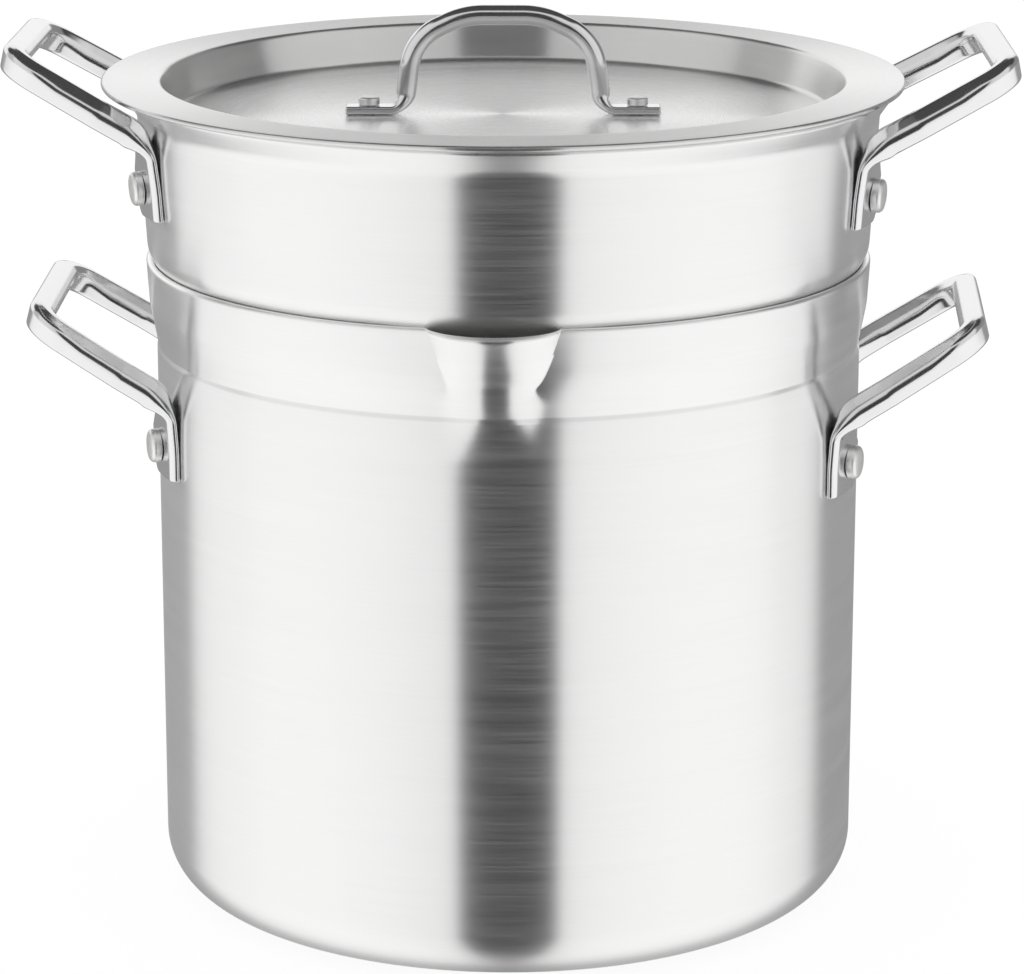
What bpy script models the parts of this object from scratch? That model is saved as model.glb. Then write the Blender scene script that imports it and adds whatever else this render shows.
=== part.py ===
"""Double boiler: a tall pouring pot, a second pot nested in its collar, and a lid with a rod handle.

Metres, +Z up. The origin is the centre of the lower pot's flat underside.
The pour spout faces -Y and the loop handles stand out along +X and -X.
"""

import math

import bmesh
import bpy
import numpy as np
from mathutils import Matrix

# Clearances
SEAT_GAP = 0.0003          # between pieces that rest on each other
HOLE_GAP = 0.0003          # around a rivet's shank

# Lower pot
POT_RADIUS = 0.1403        # outside of the straight wall
POT_HEIGHT = 0.2590        # underside to rim
POT_WALL = 0.0030
POT_BASE = 0.0040
POT_BOTTOM_ROUND = 0.0210  # outer round between underside and wall
POT_RIM_ROUND = 0.0013
COLLAR_HEIGHT = 0.0340     # rim down to the pressed crease
COLLAR_FLARE = 0.0037      # rim outside the straight wall
COLLAR_KNEE = 0.0160       # height of the collar's bend above the crease
COLLAR_KNEE_FLARE = 0.0026
COLLAR_KNEE_ROUND = 0.0300
CREASE_DEPTH = 0.0005
CREASE_HEIGHT = 0.0036

# Pour spout, pressed into the collar
SPOUT_HEIGHT = 0.0220      # rim down to the lower ends of the spout's creases
SPOUT_HALF_TOP = 9.8       # degrees of turn at the rim
SPOUT_HALF_BOTTOM = 6.5    # degrees of turn at the creases' lower ends
SPOUT_REACH = 0.0085       # how far the lip stands out past the rim
SPOUT_LOW_SWELL = 0.0025   # how far the spout stands out at the creases' lower ends
SPOUT_CURL = 1.5           # how late the swell grows towards the lip
SPOUT_FLANK = 0.67         # power of the swell's round at the lip, 1 at the creases' lower ends
SPOUT_DIP = 0.0023         # how far the lip sinks under the rim
SPOUT_BLEND = 0.0040       # height in which the creases smooth out below their ends
SPOUT_TAIL = 0.0200        # height of the smooth swell below the creases
SPOUT_TAIL_FADE = 0.0090   # height of its lower part that sinks into the wall
SPOUT_ROWS = (-0.91, -0.73, -0.50, -0.36, -0.18, 0.0, 0.28, 0.56, 0.80)   # shares of its height that it bends at
SPOUT_FADE = 3.0           # the wall's columns are even again this many half turns out

# Nested pot
INSERT_CLEARANCE = 0.0016  # between its hanging wall and the rivet tails of the lower pot
INSERT_DEPTH = 0.1270      # underside below the lower pot's rim
INSERT_STAND = 0.0684      # rim above the lower pot's rim
INSERT_WALL = 0.0025
INSERT_BASE = 0.0035
INSERT_BOTTOM_ROUND = 0.0180
INSERT_RIM_ROUND = 0.0011
SHOULDER_ANGLE = 40.0      # degrees from upright
SHOULDER_ROUND = 0.0080
SHOULDER_OVERHANG = 0.0022 # shoulder's outside past the lower pot's rim opening
NECK_SPREAD = 0.0032       # how much wider the wall is under the rim than at the shoulder
FLARE_HEIGHT = 0.0100      # rim down to the start of the flare
FLARE_REACH = 0.0070
FLARE_ROUND = 0.0080
INSERT_TURN = 2.40         # degrees of turn about the lower pot at rest

# Lid
LID_OVERHANG = 0.0047      # lid's edge past the nested pot's rim
LID_SHEET = 0.0021
LID_EDGE_ROUND = 0.0009
RECESS_CLEARANCE = 0.0089  # between the recess wall and the inside of the nested pot's neck
RECESS_DRAFT = 0.0042      # how much narrower the recess is at its floor
RECESS_DEPTH = 0.0158      # flange top down to floor top
RECESS_TOP_ROUND = 0.0035
RECESS_FLOOR_ROUND = 0.0045
LID_SHIFT = -0.0021        # off the nested pot's axis, along X, within the recess clearance

# Lid handle: one bent rod with flattened feet
ROD_RADIUS = 0.0039
ROD_LEG = 0.0375           # upright legs' distance from the middle
ROD_HEIGHT = 0.0432        # top of the rod above the recess floor
ROD_SHOULDER = 0.0270      # bend radius of the shoulders
ROD_FOOT_BEND = 0.0100
ROD_FOOT_END = 0.0622      # end of a foot's distance from the middle
ROD_FOOT_THICK = 0.0031
ROD_FOOT_HALF_WIDTH = 0.0052
ROD_FOOT_EDGE = 0.0010     # round of a foot's long edges
ROD_ROUNDNESS = 0.9        # an edge's round, as a share of the half thickness, at most
ROD_FLAT_START = 0.0130    # height above the foot at which the rod starts to flatten
ROD_FLAT_END = 0.0115      # past the leg's line, where the foot is fully flat
LID_RIVET_PLACE = 0.0530   # rivet's distance from the middle
LID_RIVET_HEAD_RADIUS = 0.0038
LID_RIVET_HEAD_HEIGHT = 0.0032
LID_RIVET_SHANK_RADIUS = 0.0022
LID_RIVET_TAIL_RADIUS = 0.0046
LID_RIVET_TAIL_HEIGHT = 0.0016

# Side handles: folded strip, flattened to a foot at each end
FOOT_OUTER = 0.0598        # foot's outer edge, from the handle's middle
FOOT_INNER = 0.0338        # foot's inner edge, from the handle's middle
FOOT_STRAIGHT = 0.0199     # foot's flat length, before the bend
FOOT_THICK = 0.0036
FOOT_CORNER = 0.0100       # round of the lower inner corner
FOOT_EDGE_ROUND = 0.0012
HANDLE_BEND = 0.0160       # radius of the bend from foot to arm
ARM_LENGTH = 0.0530        # from the bend to the end bar's middle line
ARM_WIDTH = 0.0107
ARM_THICK = 0.0112
ARM_EDGE_ROUND = 0.0042
ARM_START = 0.0480         # along the strip, where it has the arm's full thickness
ARM_LINE_SHARE = 0.8       # the arms leave the round wall this much of their width inside the foot's edge
GUSSET_START = 0.0174      # along the strip, from the foot's lower edge
GUSSET_END = 0.0500
GUSSET_POWER = 2.6         # how early the gusset narrows
END_HALF_WIDTH = 0.0498    # end bar's corner, from the handle's middle
END_CORNER = 0.0137        # bend radius of the corner's middle line
FOOT_ROWS = (0.0, 0.10, 0.35, 1.0)                      # shares of the foot's corner
GUSSET_ROWS = (0.0, 0.17, 0.33, 0.48, 0.64, 0.82)       # shares of the gusset's length
EDGE_LIMIT = 0.98          # an edge's round, as a share of the half thickness, at most

# How each handle is set on its pot
OUTER_LEFT_DROP = 0.0811   # pot's rim down to the feet's lower edge
OUTER_RIGHT_DROP = 0.0850
INNER_LEFT_DROP = 0.0472
INNER_RIGHT_DROP = 0.0481
HANDLE_SET = {             # drop, and in degrees: turn round the pot, rise of the arms, roll about the rivets' height
    "outer_handle_left": (OUTER_LEFT_DROP, 2.0, 32.8, -0.6),
    "outer_handle_right": (OUTER_RIGHT_DROP, -1.0, 33.3, -0.5),
    "inner_handle_left": (INNER_LEFT_DROP, 0.0, 32.5, -1.6),
    "inner_handle_right": (INNER_RIGHT_DROP, -0.4, 29.6, 0.0),
}

# Rivets of the side handles
RIVET_PLACE = 0.0460       # from the handle's middle
RIVET_LIFT = 0.0116        # above the foot's lower edge
RIVET_HEAD_RADIUS = 0.0066
RIVET_HEAD_HEIGHT = 0.0048
RIVET_SHANK_RADIUS = 0.0030
RIVET_TAIL_RADIUS = 0.0066
RIVET_TAIL_HEIGHT = 0.0016

# Shapes shared by all rivets, as shares of the head's or tail's radius or height
CROWN_FLAT = 0.40
HEAD_EDGE = 0.78
HEAD_EDGE_ROUND = 0.35
TAIL_EDGE = 0.45
TAIL_FLAT = 0.45
DRILL_LENGTH = 0.0400

# Mesh fineness
TURN_STEPS = 60            # segments round a pot or the lid
SPOUT_STEPS = 6            # segments from the spout's middle to its crease
RIVET_STEPS = 10
CORNER_STEPS = 2           # segments round one edge of a handle's strip
SIDE_STEPS = 4             # segments across its wide sides
END_STEPS = 5              # segments round the end bar's corner
ARC_ERROR = 0.00025        # how far a rounded corner's facets may miss its arc
ARC_SHARE = 0.49           # the most of a side that one corner's arc takes
LEAST_ROUND = 0.0002       # of an inner bend that the wall leaves no room for
ROW_SPACING = 0.0001       # the least height between two rows of the collar
SHARP_ANGLE = math.radians(40)

# Sizes that follow
POT_INSIDE = POT_RADIUS - POT_WALL
RIM_INSIDE = POT_RADIUS + COLLAR_FLARE - POT_WALL
INSERT_RADIUS = POT_INSIDE - SEAT_GAP - RIVET_TAIL_HEIGHT - INSERT_CLEARANCE
SHOULDER_TOP_RADIUS = RIM_INSIDE + SHOULDER_OVERHANG
NECK_RADIUS = SHOULDER_TOP_RADIUS + NECK_SPREAD
LID_RADIUS = NECK_RADIUS + FLARE_REACH + LID_OVERHANG
RECESS_RADIUS = NECK_RADIUS - INSERT_WALL - RECESS_CLEARANCE
RECESS_FLOOR_RADIUS = RECESS_RADIUS - RECESS_DRAFT
CREASE_Z = POT_HEIGHT - COLLAR_HEIGHT
INSERT_BOTTOM_Z = POT_HEIGHT - INSERT_DEPTH
INSERT_TOP_Z = POT_HEIGHT + INSERT_STAND
FLANGE_UNDER_Z = INSERT_TOP_Z + SEAT_GAP
FLANGE_TOP_Z = FLANGE_UNDER_Z + LID_SHEET
FLOOR_TOP_Z = FLANGE_TOP_Z - RECESS_DEPTH
ROD_FOOT_Z = FLOOR_TOP_Z + SEAT_GAP + ROD_FOOT_THICK / 2


def clear_scene():
    for obj in list(bpy.data.objects):
        bpy.data.objects.remove(obj, do_unlink=True)


def metal(name, color, roughness):
    material = bpy.data.materials.new(name)
    material.use_nodes = True
    shader = material.node_tree.nodes["Principled BSDF"]
    shader.inputs["Base Color"].default_value = (*color, 1.0)
    shader.inputs["Metallic"].default_value = 1.0
    shader.inputs["Roughness"].default_value = roughness
    return material


def empty(name, parent=None, turn=0.0):
    """An upright axis through the origin, which the pieces of one moving body hang on."""
    axis = bpy.data.objects.new(name, None)
    bpy.context.collection.objects.link(axis)
    axis.parent = parent
    axis.rotation_euler.z = math.radians(turn)
    return axis


def piece(name, verts, faces, material, parent):
    mesh = bpy.data.meshes.new(name)
    mesh.from_pydata([tuple(v) for v in verts], [], faces)
    bm = bmesh.new()
    bm.from_mesh(mesh)
    bmesh.ops.recalc_face_normals(bm, faces=bm.faces)
    bm.to_mesh(mesh)
    bm.free()
    mesh.shade_smooth()
    mesh.set_sharp_from_angle(angle=SHARP_ANGLE)
    mesh.materials.append(material)
    obj = bpy.data.objects.new(name, mesh)
    obj.parent = parent
    bpy.context.collection.objects.link(obj)
    return obj


def cut(obj, cutter):
    modifier = obj.modifiers.new("hole " + cutter.name, "BOOLEAN")
    modifier.operation = "DIFFERENCE"
    modifier.object = cutter


def smooth(t):
    """0 to 1 with a level start and end."""
    t = np.clip(t, 0.0, 1.0)
    return t * t * (3.0 - 2.0 * t)


# Outlines: a list of corners (radius from the axis, height, round), and the points that follow from it

def rounded(corners):
    """Points along the corners, with an arc of each corner's round, as far as its sides allow."""
    points = []
    for i, (x, y, radius) in enumerate(corners):
        here = np.array([x, y])
        if radius <= 0 or i in (0, len(corners) - 1):
            points.append(here)
            continue
        back = np.array(corners[i - 1][:2]) - here
        ahead = np.array(corners[i + 1][:2]) - here
        reach = ARC_SHARE * min(np.linalg.norm(back), np.linalg.norm(ahead))
        back /= np.linalg.norm(back)
        ahead /= np.linalg.norm(ahead)
        half = 0.5 * math.acos(np.clip(back @ ahead, -1.0, 1.0))
        sweep = math.pi - 2.0 * half
        if math.isclose(sweep, 0.0, abs_tol=1e-4):
            points.append(here)
            continue
        tangent = min(radius / math.tan(half), reach)
        radius = tangent * math.tan(half)
        middle = (back + ahead) / np.linalg.norm(back + ahead)
        centre = here + middle * radius / math.sin(half)
        widest = 2.0 * math.acos(max(1.0 - ARC_ERROR / radius, 0.0))
        steps = max(1, math.ceil(sweep / widest))
        first = here + back * tangent - centre
        side = math.copysign(1.0, back[1] * ahead[0] - back[0] * ahead[1])
        for k in range(steps + 1):
            a = side * sweep * k / steps
            turn = np.array([[math.cos(a), -math.sin(a)], [math.sin(a), math.cos(a)]])
            points.append(centre + turn @ first)
    return points


def offset(corners, gaps):
    """The corners of a line that runs beside the first one, on its left, at each stretch's own distance.

    A corner keeps its arc's centre, so an inner bend is tighter than the outer one by the wall.
    """
    starts, directions = [], []
    for (x0, y0, _), (x1, y1, _), gap in zip(corners, corners[1:], gaps):
        direction = np.array([x1 - x0, y1 - y0])
        direction /= np.linalg.norm(direction)
        left = np.array([-direction[1], direction[0]])
        starts.append(np.array([x0, y0]) + left * gap)
        directions.append(direction)
    result = [(*starts[0], 0.0)]
    for i in range(1, len(starts)):
        d0, d1 = directions[i - 1], directions[i]
        turn = d0[0] * d1[1] - d0[1] * d1[0]
        across = starts[i] - starts[i - 1]
        along = (across[0] * d1[1] - across[1] * d1[0]) / turn
        x, y = starts[i - 1] + d0 * along
        radius = corners[i][2]
        if radius > 0:
            radius = max(radius - math.copysign(gaps[i], turn), LEAST_ROUND)
        result.append((x, y, radius))
    length = np.linalg.norm(np.array(corners[-1][:2]) - np.array(corners[-2][:2]))
    result.append((*(starts[-1] + directions[-1] * length), 0.0))
    return result


def shell(outside, gaps, rim_round, level_rim=False):
    """Closed outline of a sheet: up the outside, over a rounded rim and down the inside to the axis.

    The rim is cut square to the sheet, or level with the outside's last corner.
    """
    inside = offset(outside, gaps)
    inside[0] = (0.0, inside[0][1], 0.0)
    if level_rim:
        (x0, z0, _), (x1, z1, _) = inside[-2:]
        z = outside[-1][1]
        inside[-1] = (x0 + (x1 - x0) * (z - z0) / (z1 - z0), z, 0.0)
    rim_out = (*outside[-1][:2], rim_round)
    rim_in = (*inside[-1][:2], rim_round)
    return rounded(outside[:-1] + [rim_out, rim_in] + inside[-2::-1])


def turned(name, outline, material, parent, steps=TURN_STEPS, columns=None, shape=None):
    """Turns an outline that starts and ends on the axis. The columns are angles, -Y being 0."""
    if columns is None:
        columns = (np.arange(steps) + 0.5) * 2.0 * math.pi / steps
    count = len(columns)
    rows = outline[1:-1]
    verts = [(0.0, 0.0, outline[0][1])]
    for radius, z in rows:
        for column in columns:
            r, a, height = radius, column, z
            if shape:
                r, a, height = shape(radius, column, z)
            verts.append((r * math.sin(a), -r * math.cos(a), height))
    verts.append((0.0, 0.0, outline[-1][1]))
    last = len(verts) - 1
    faces = []
    for j in range(count):
        k = (j + 1) % count
        faces.append((0, 1 + j, 1 + k))
        faces.append((last, last - count + k, last - count + j))
        for i in range(len(rows) - 1):
            a, b = 1 + i * count, 1 + (i + 1) * count
            faces.append((a + j, b + j, b + k, a + k))
    return piece(name, verts, faces, material, parent)


# Lower pot

def pot_corners():
    rim = POT_RADIUS + COLLAR_FLARE
    crease = POT_RADIUS - CREASE_DEPTH
    return [
        (0.0, 0.0, 0.0),
        (POT_RADIUS, 0.0, POT_BOTTOM_ROUND),
        (POT_RADIUS, CREASE_Z - CREASE_HEIGHT, 0.0),
        (crease, CREASE_Z, 0.0),
        (POT_RADIUS + COLLAR_KNEE_FLARE, CREASE_Z + COLLAR_KNEE, COLLAR_KNEE_ROUND),
        (rim, POT_HEIGHT, 0.0),
    ]


def spout_columns():
    """Angles round the pot, packed on the spout, whose crease is the column at +1 or -1."""
    edge = math.radians(SPOUT_HALF_TOP)
    inner = np.linspace(-edge, edge, 2 * SPOUT_STEPS + 1)
    step = 2.0 * math.pi / TURN_STEPS
    around = 2.0 * math.pi - 2.0 * edge
    outer = np.linspace(edge, edge + around, round(around / step) + 1)[1:-1]
    return np.concatenate([inner, outer])


def spout_swell(z):
    """How far the spout's middle stands out at a height, and the power of its round from crease to crease."""
    low = POT_HEIGHT - SPOUT_HEIGHT
    if z >= low:
        up = min((z - low) / SPOUT_HEIGHT, 1.0)
        return SPOUT_LOW_SWELL + (SPOUT_REACH - SPOUT_LOW_SWELL) * up**SPOUT_CURL, 1.0 + (SPOUT_FLANK - 1.0) * up
    power = 1.0 + float(smooth((low - z) / SPOUT_BLEND))
    fade = float(smooth((z - (low - SPOUT_TAIL)) / SPOUT_TAIL_FADE))
    return SPOUT_LOW_SWELL / power * fade, power


def spout(radius, angle, z):
    """Moves a point of the collar to the pressed spout. Between its creases the lip swells out and dips."""
    low = POT_HEIGHT - SPOUT_HEIGHT
    top, bottom = math.radians(SPOUT_HALF_TOP), math.radians(SPOUT_HALF_BOTTOM)
    signed = (angle + math.pi) % (2.0 * math.pi) - math.pi
    up = min(max((z - low) / SPOUT_HEIGHT, 0.0), 1.0)
    half = bottom + (top - bottom) * up
    far = SPOUT_FADE * top
    if abs(signed) <= top:
        u = signed / top
        signed = u * half
        swell, power = spout_swell(z)
        across = max(1.0 - u * u, 0.0)**power
        radius += swell * across
        z -= SPOUT_DIP * across * up
    elif abs(signed) < far:
        t = (abs(signed) - top) / (far - top)
        signed = math.copysign(half + (far - half) * t, signed)
    return radius, signed, z


def make_pot(material, axis):
    corners = pot_corners()
    gaps = [POT_BASE] + [POT_WALL] * (len(corners) - 2)
    outline = shell(corners, gaps, POT_RIM_ROUND, level_rim=True)
    return turned("outer_pot", split_collar(outline), material, axis, columns=spout_columns(), shape=spout)


def split_collar(outline):
    """Adds rows through the spout's height, so that its swell has points to bend at."""
    low = POT_HEIGHT - SPOUT_HEIGHT
    levels = [low + SPOUT_HEIGHT * share for share in SPOUT_ROWS]
    result = [outline[0]]
    for before, after in zip(outline, outline[1:]):
        bottom, top = sorted((before[1], after[1]))
        inside = [h for h in levels if bottom + ROW_SPACING < h < top - ROW_SPACING]
        for h in sorted(inside, reverse=bool(after[1] < before[1])):
            result.append(before + (after - before) * (h - before[1]) / (after[1] - before[1]))
        result.append(after)
    return result


# Nested pot

def insert_corners():
    """The shoulder's cone passes the lower pot's rounded rim at the seat gap."""
    slope = math.radians(SHOULDER_ANGLE)
    centre_r, centre_z = RIM_INSIDE + POT_RIM_ROUND, POT_HEIGHT - POT_RIM_ROUND
    away = POT_RIM_ROUND + SEAT_GAP
    touch_r = centre_r - away * math.cos(slope)
    touch_z = centre_z + away * math.sin(slope)

    def cone_z(radius):
        return touch_z + (radius - touch_r) / math.tan(slope)

    flare_z = INSERT_TOP_Z - FLARE_HEIGHT
    return [
        (0.0, INSERT_BOTTOM_Z, 0.0),
        (INSERT_RADIUS, INSERT_BOTTOM_Z, INSERT_BOTTOM_ROUND),
        (INSERT_RADIUS, cone_z(INSERT_RADIUS), SHOULDER_ROUND),
        (SHOULDER_TOP_RADIUS, cone_z(SHOULDER_TOP_RADIUS), SHOULDER_ROUND),
        (NECK_RADIUS, flare_z, FLARE_ROUND),
        (NECK_RADIUS + FLARE_REACH, INSERT_TOP_Z, 0.0),
    ]


def lowered(corners):
    """Lowers the last corner, so that the rim's highest point keeps its height once it has a thickness."""
    (x0, z0, _), (x1, z1, _) = corners[-2:]
    run, rise = x1 - x0, z1 - z0
    drop = INSERT_WALL * run / math.hypot(run, rise)
    return corners[:-1] + [(x1 - drop * run / rise, z1 - drop, 0.0)]


def make_insert(material, axis):
    corners = lowered(insert_corners())
    gaps = [INSERT_BASE] + [INSERT_WALL] * (len(corners) - 2)
    return turned("inner_pot", shell(corners, gaps, INSERT_RIM_ROUND), material, axis)


# Lid

def make_lid(material, axis):
    top = [
        (0.0, FLOOR_TOP_Z, 0.0),
        (RECESS_FLOOR_RADIUS, FLOOR_TOP_Z, RECESS_FLOOR_ROUND),
        (RECESS_RADIUS, FLANGE_TOP_Z, RECESS_TOP_ROUND),
        (LID_RADIUS, FLANGE_TOP_Z, 0.0),
    ]
    under = offset(top, [-LID_SHEET] * 3)
    edge = [(*top[-1][:2], LID_EDGE_ROUND), (*under[-1][:2], LID_EDGE_ROUND)]
    return turned("lid", rounded(top[:-1] + edge + under[-2::-1]), material, axis)


# Rivets

def rivet_outline(head_radius, head_height, shank_radius, grip, tail_radius, tail_height):
    """From the head's crown at the top, down the shank through the grip, to the tail."""
    return rounded([
        (0.0, grip + head_height, 0.0),
        (CROWN_FLAT * head_radius, grip + head_height, 0.0),
        (head_radius, grip + HEAD_EDGE * head_height, HEAD_EDGE_ROUND * head_height),
        (head_radius, grip, 0.0),
        (shank_radius, grip, 0.0),
        (shank_radius, 0.0, 0.0),
        (tail_radius, 0.0, 0.0),
        (tail_radius, -TAIL_EDGE * tail_height, 0.0),
        (TAIL_FLAT * tail_radius, -tail_height, 0.0),
        (0.0, -tail_height, 0.0),
    ])


def stand(obj, place, out):
    """Puts a piece turned about its own Z at a place, with Z along out."""
    z = np.array(out) / np.linalg.norm(out)
    x = np.cross((0.0, 1.0, 0.0), z)
    x /= np.linalg.norm(x)
    rows = np.stack([x, np.cross(z, x), z], axis=1)
    obj.location = place
    obj.rotation_mode = "QUATERNION"
    obj.rotation_quaternion = Matrix(rows.tolist()).to_quaternion()


def drill(name, radius, parent):
    """A round cutter along its own Z, through the origin."""
    half = DRILL_LENGTH / 2
    outline = [np.array(p) for p in ((0.0, half), (radius, half), (radius, -half), (0.0, -half))]
    cutter = turned(name, outline, None, parent, steps=RIVET_STEPS)
    cutter.hide_render = True
    cutter.display_type = "WIRE"
    return cutter


# Side handles

def strip_profile(along, lean, rise):
    """Radius and height of the strip's middle surface and its outward normal, from the foot's lower edge."""
    start = math.radians(90.0 - lean)
    end = math.radians(rise)
    bent = min(max(along - FOOT_STRAIGHT, 0.0) / HANDLE_BEND, start - end)
    flat = min(along, FOOT_STRAIGHT)
    rest = max(along - FOOT_STRAIGHT - HANDLE_BEND * (start - end), 0.0)
    angle = start - bent
    r = flat * math.cos(start) + HANDLE_BEND * (math.sin(start) - math.sin(angle)) + rest * math.cos(end)
    z = flat * math.sin(start) + HANDLE_BEND * (math.cos(angle) - math.cos(start)) + rest * math.sin(end)
    return r, z, math.sin(angle), -math.cos(angle)


def strip_sections(lean, rise):
    """Half of the strip, laid flat: rows of (along, across, turn, half width, half thickness, edge round).

    along runs from the foot's lower edge, across is the distance from the handle's middle, and turn is
    the path's angle, from 0 on the foot to 90 degrees on the end bar.
    """
    rows = []

    def row(along, across, turn, half_width):
        grown = arm_share(along)
        thick = FOOT_THICK + (ARM_THICK - FOOT_THICK) * grown
        edge = FOOT_EDGE_ROUND + (ARM_EDGE_ROUND - FOOT_EDGE_ROUND) * grown
        rows.append((along, across, turn, half_width, thick / 2, min(edge, EDGE_LIMIT * thick / 2)))

    gusset_length = GUSSET_END - GUSSET_START
    arm_inner = FOOT_OUTER - ARM_WIDTH
    for along in [FOOT_CORNER * share for share in FOOT_ROWS]:
        corner = FOOT_CORNER - math.sqrt(FOOT_CORNER**2 - (FOOT_CORNER - along)**2)
        inner = FOOT_INNER + corner
        row(along, (FOOT_OUTER + inner) / 2, 0.0, (FOOT_OUTER - inner) / 2)
    for share in GUSSET_ROWS:
        inner = arm_inner - (arm_inner - FOOT_INNER) * (1.0 - share)**GUSSET_POWER
        row(GUSSET_START + gusset_length * share, (FOOT_OUTER + inner) / 2, 0.0, (FOOT_OUTER - inner) / 2)

    half_arm = ARM_WIDTH / 2
    end = FOOT_STRAIGHT + HANDLE_BEND * math.radians(90.0 - lean - rise) + ARM_LENGTH
    start = np.array([GUSSET_END, FOOT_OUTER - half_arm])
    corner = np.array([end, END_HALF_WIDTH])
    heading = math.atan2(start[1] - corner[1], corner[0] - start[0])
    sweep = math.pi / 2 - heading
    run = (corner - start) / np.linalg.norm(corner - start)
    arm_end = corner - run * END_CORNER * math.tan(sweep / 2)
    row(*start, heading / 2, half_arm)
    row(*((start + arm_end) / 2), heading, half_arm)
    centre = arm_end + END_CORNER * np.array([-math.sin(heading), -math.cos(heading)])
    for k in range(END_STEPS + 1):
        turn = heading + sweep * k / END_STEPS
        row(*(centre + END_CORNER * np.array([math.sin(turn), math.cos(turn)])), turn, half_arm)
    return rows


def arm_share(along):
    """0 on the foot, 1 where the strip has become the arm."""
    return float(smooth((along - FOOT_STRAIGHT) / (ARM_START - FOOT_STRAIGHT)))


def section(half_width, half_thick, edge, side_steps=1):
    """Points of a rounded rectangle, (across, outward), with more along the two wide sides where asked."""
    points = []
    for quarter in range(4):
        start = quarter * math.pi / 2
        cx = (half_width - edge) * (1 if quarter in (0, 3) else -1)
        cy = (half_thick - edge) * (1 if quarter in (0, 1) else -1)
        for k in range(CORNER_STEPS + 1):
            a = start + 0.5 * math.pi * k / CORNER_STEPS
            points.append((cx + edge * math.cos(a), cy + edge * math.sin(a)))
        if quarter in (0, 2):
            for k in range(1, side_steps):
                points.append((cx * (1.0 - 2.0 * k / side_steps), cy + math.copysign(edge, cy)))
    return points


def tube(name, rings, material, parent):
    """A closed bar through rings of points, with a flat face at each end."""
    count = len(rings[0])
    verts = [point for ring in rings for point in ring]
    faces = [tuple(range(count)), tuple(range(len(verts) - count, len(verts)))[::-1]]
    for i in range(len(rings) - 1):
        a, b = i * count, (i + 1) * count
        for j in range(count):
            k = (j + 1) % count
            faces.append((a + j, b + j, b + k, a + k))
    return piece(name, verts, faces, material, parent)


def make_handle(name, foot_radius, foot_z, lean, rise, side, material, axis):
    """One loop: a foot, an arm, the end bar, and the same again mirrored.

    The feet follow the round wall, and the arms leave it as straight bars. side is +1 or -1, along X.
    """
    base = foot_radius + (SEAT_GAP + FOOT_THICK / 2) / math.cos(math.radians(lean))
    arm_line = FOOT_OUTER - ARM_WIDTH * ARM_LINE_SHARE
    settled = foot_radius - math.sqrt(foot_radius**2 - arm_line**2)

    def place(along, across, out):
        r, z, normal_r, normal_z = strip_profile(along, lean, rise)
        radius = base + r + out * normal_r
        curve = radius - math.sqrt(radius**2 - across**2)
        grown = arm_share(along)
        x = radius - (curve * (1.0 - grown) + settled * grown)
        return side * x, across, foot_z + z + out * normal_z

    half = strip_sections(lean, rise)
    rings = []
    for sign, rows in ((-1, half), (1, half[::-1])):
        for along, across, turn, half_width, half_thick, edge in rows:
            points = section(half_width, half_thick, edge, SIDE_STEPS)
            rings.append([place(along + a * math.sin(turn), sign * (across + a * math.cos(turn)), out)
                          for a, out in points])
    return tube(name, rings, material, axis)


def fasten(handle, pot, foot_radius, foot_z, lean, side, wall, material, axis):
    """Two rivets through a handle's feet and the pot's wall, each in holes that clear its shank."""
    tilt = math.radians(lean)
    radius = foot_radius + RIVET_LIFT * math.tan(tilt)
    turn = math.asin(RIVET_PLACE / radius)
    wall_inside = radius * math.cos(math.pi / TURN_STEPS) - wall / math.cos(tilt) - SEAT_GAP
    tail_back = RIVET_TAIL_RADIUS**2 / (2.0 * wall_inside)
    grip = radius - wall_inside + SEAT_GAP + FOOT_THICK + SEAT_GAP + tail_back
    outline = rivet_outline(RIVET_HEAD_RADIUS, RIVET_HEAD_HEIGHT, RIVET_SHANK_RADIUS,
                            grip, RIVET_TAIL_RADIUS, RIVET_TAIL_HEIGHT)
    for row, sign in (("front", -1), ("rear", 1)):
        flat = np.array([side * math.cos(turn), sign * math.sin(turn), 0.0])
        out = flat * math.cos(tilt) - np.array([0.0, 0.0, math.sin(tilt)])
        tail = flat * wall_inside + np.array([0.0, 0.0, foot_z + RIVET_LIFT]) - out * tail_back
        rivet = turned(handle.name.replace("handle", "rivet") + "_" + row, outline, material, axis,
                       steps=RIVET_STEPS)
        stand(rivet, tail, out)
        hole = drill(rivet.name + "_hole", RIVET_SHANK_RADIUS + HOLE_GAP, axis)
        stand(hole, tail, out)
        cut(handle, hole)
        cut(pot, hole)


def roll_about(axis, degrees, height):
    """Tips what hangs on the axis about a level line along X at the given height."""
    roll = math.radians(degrees)
    axis.rotation_euler.x = roll
    axis.location = (0.0, height * math.sin(roll), height * (1.0 - math.cos(roll)))


def add_handle(pot, kind, rim_z, foot_radius_at, lean, wall, pot_axis, polished, rivet_metal):
    """Both handles of one pot, each on its own upright axis, with their rivets."""
    for row, side in (("left", -1), ("right", 1)):
        name = f"{kind}_handle_{row}"
        drop, turn, rise, roll = HANDLE_SET[name]
        foot_z = rim_z - drop
        axis = empty(name + "_axis", empty(name + "_turn", pot_axis, turn))
        roll_about(axis, roll, foot_z + RIVET_LIFT)
        foot_radius = foot_radius_at(foot_z)
        handle = make_handle(name, foot_radius, foot_z, lean, rise, side, polished, axis)
        fasten(handle, pot, foot_radius, foot_z, lean, side, wall, rivet_metal, axis)


# Lid handle

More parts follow.
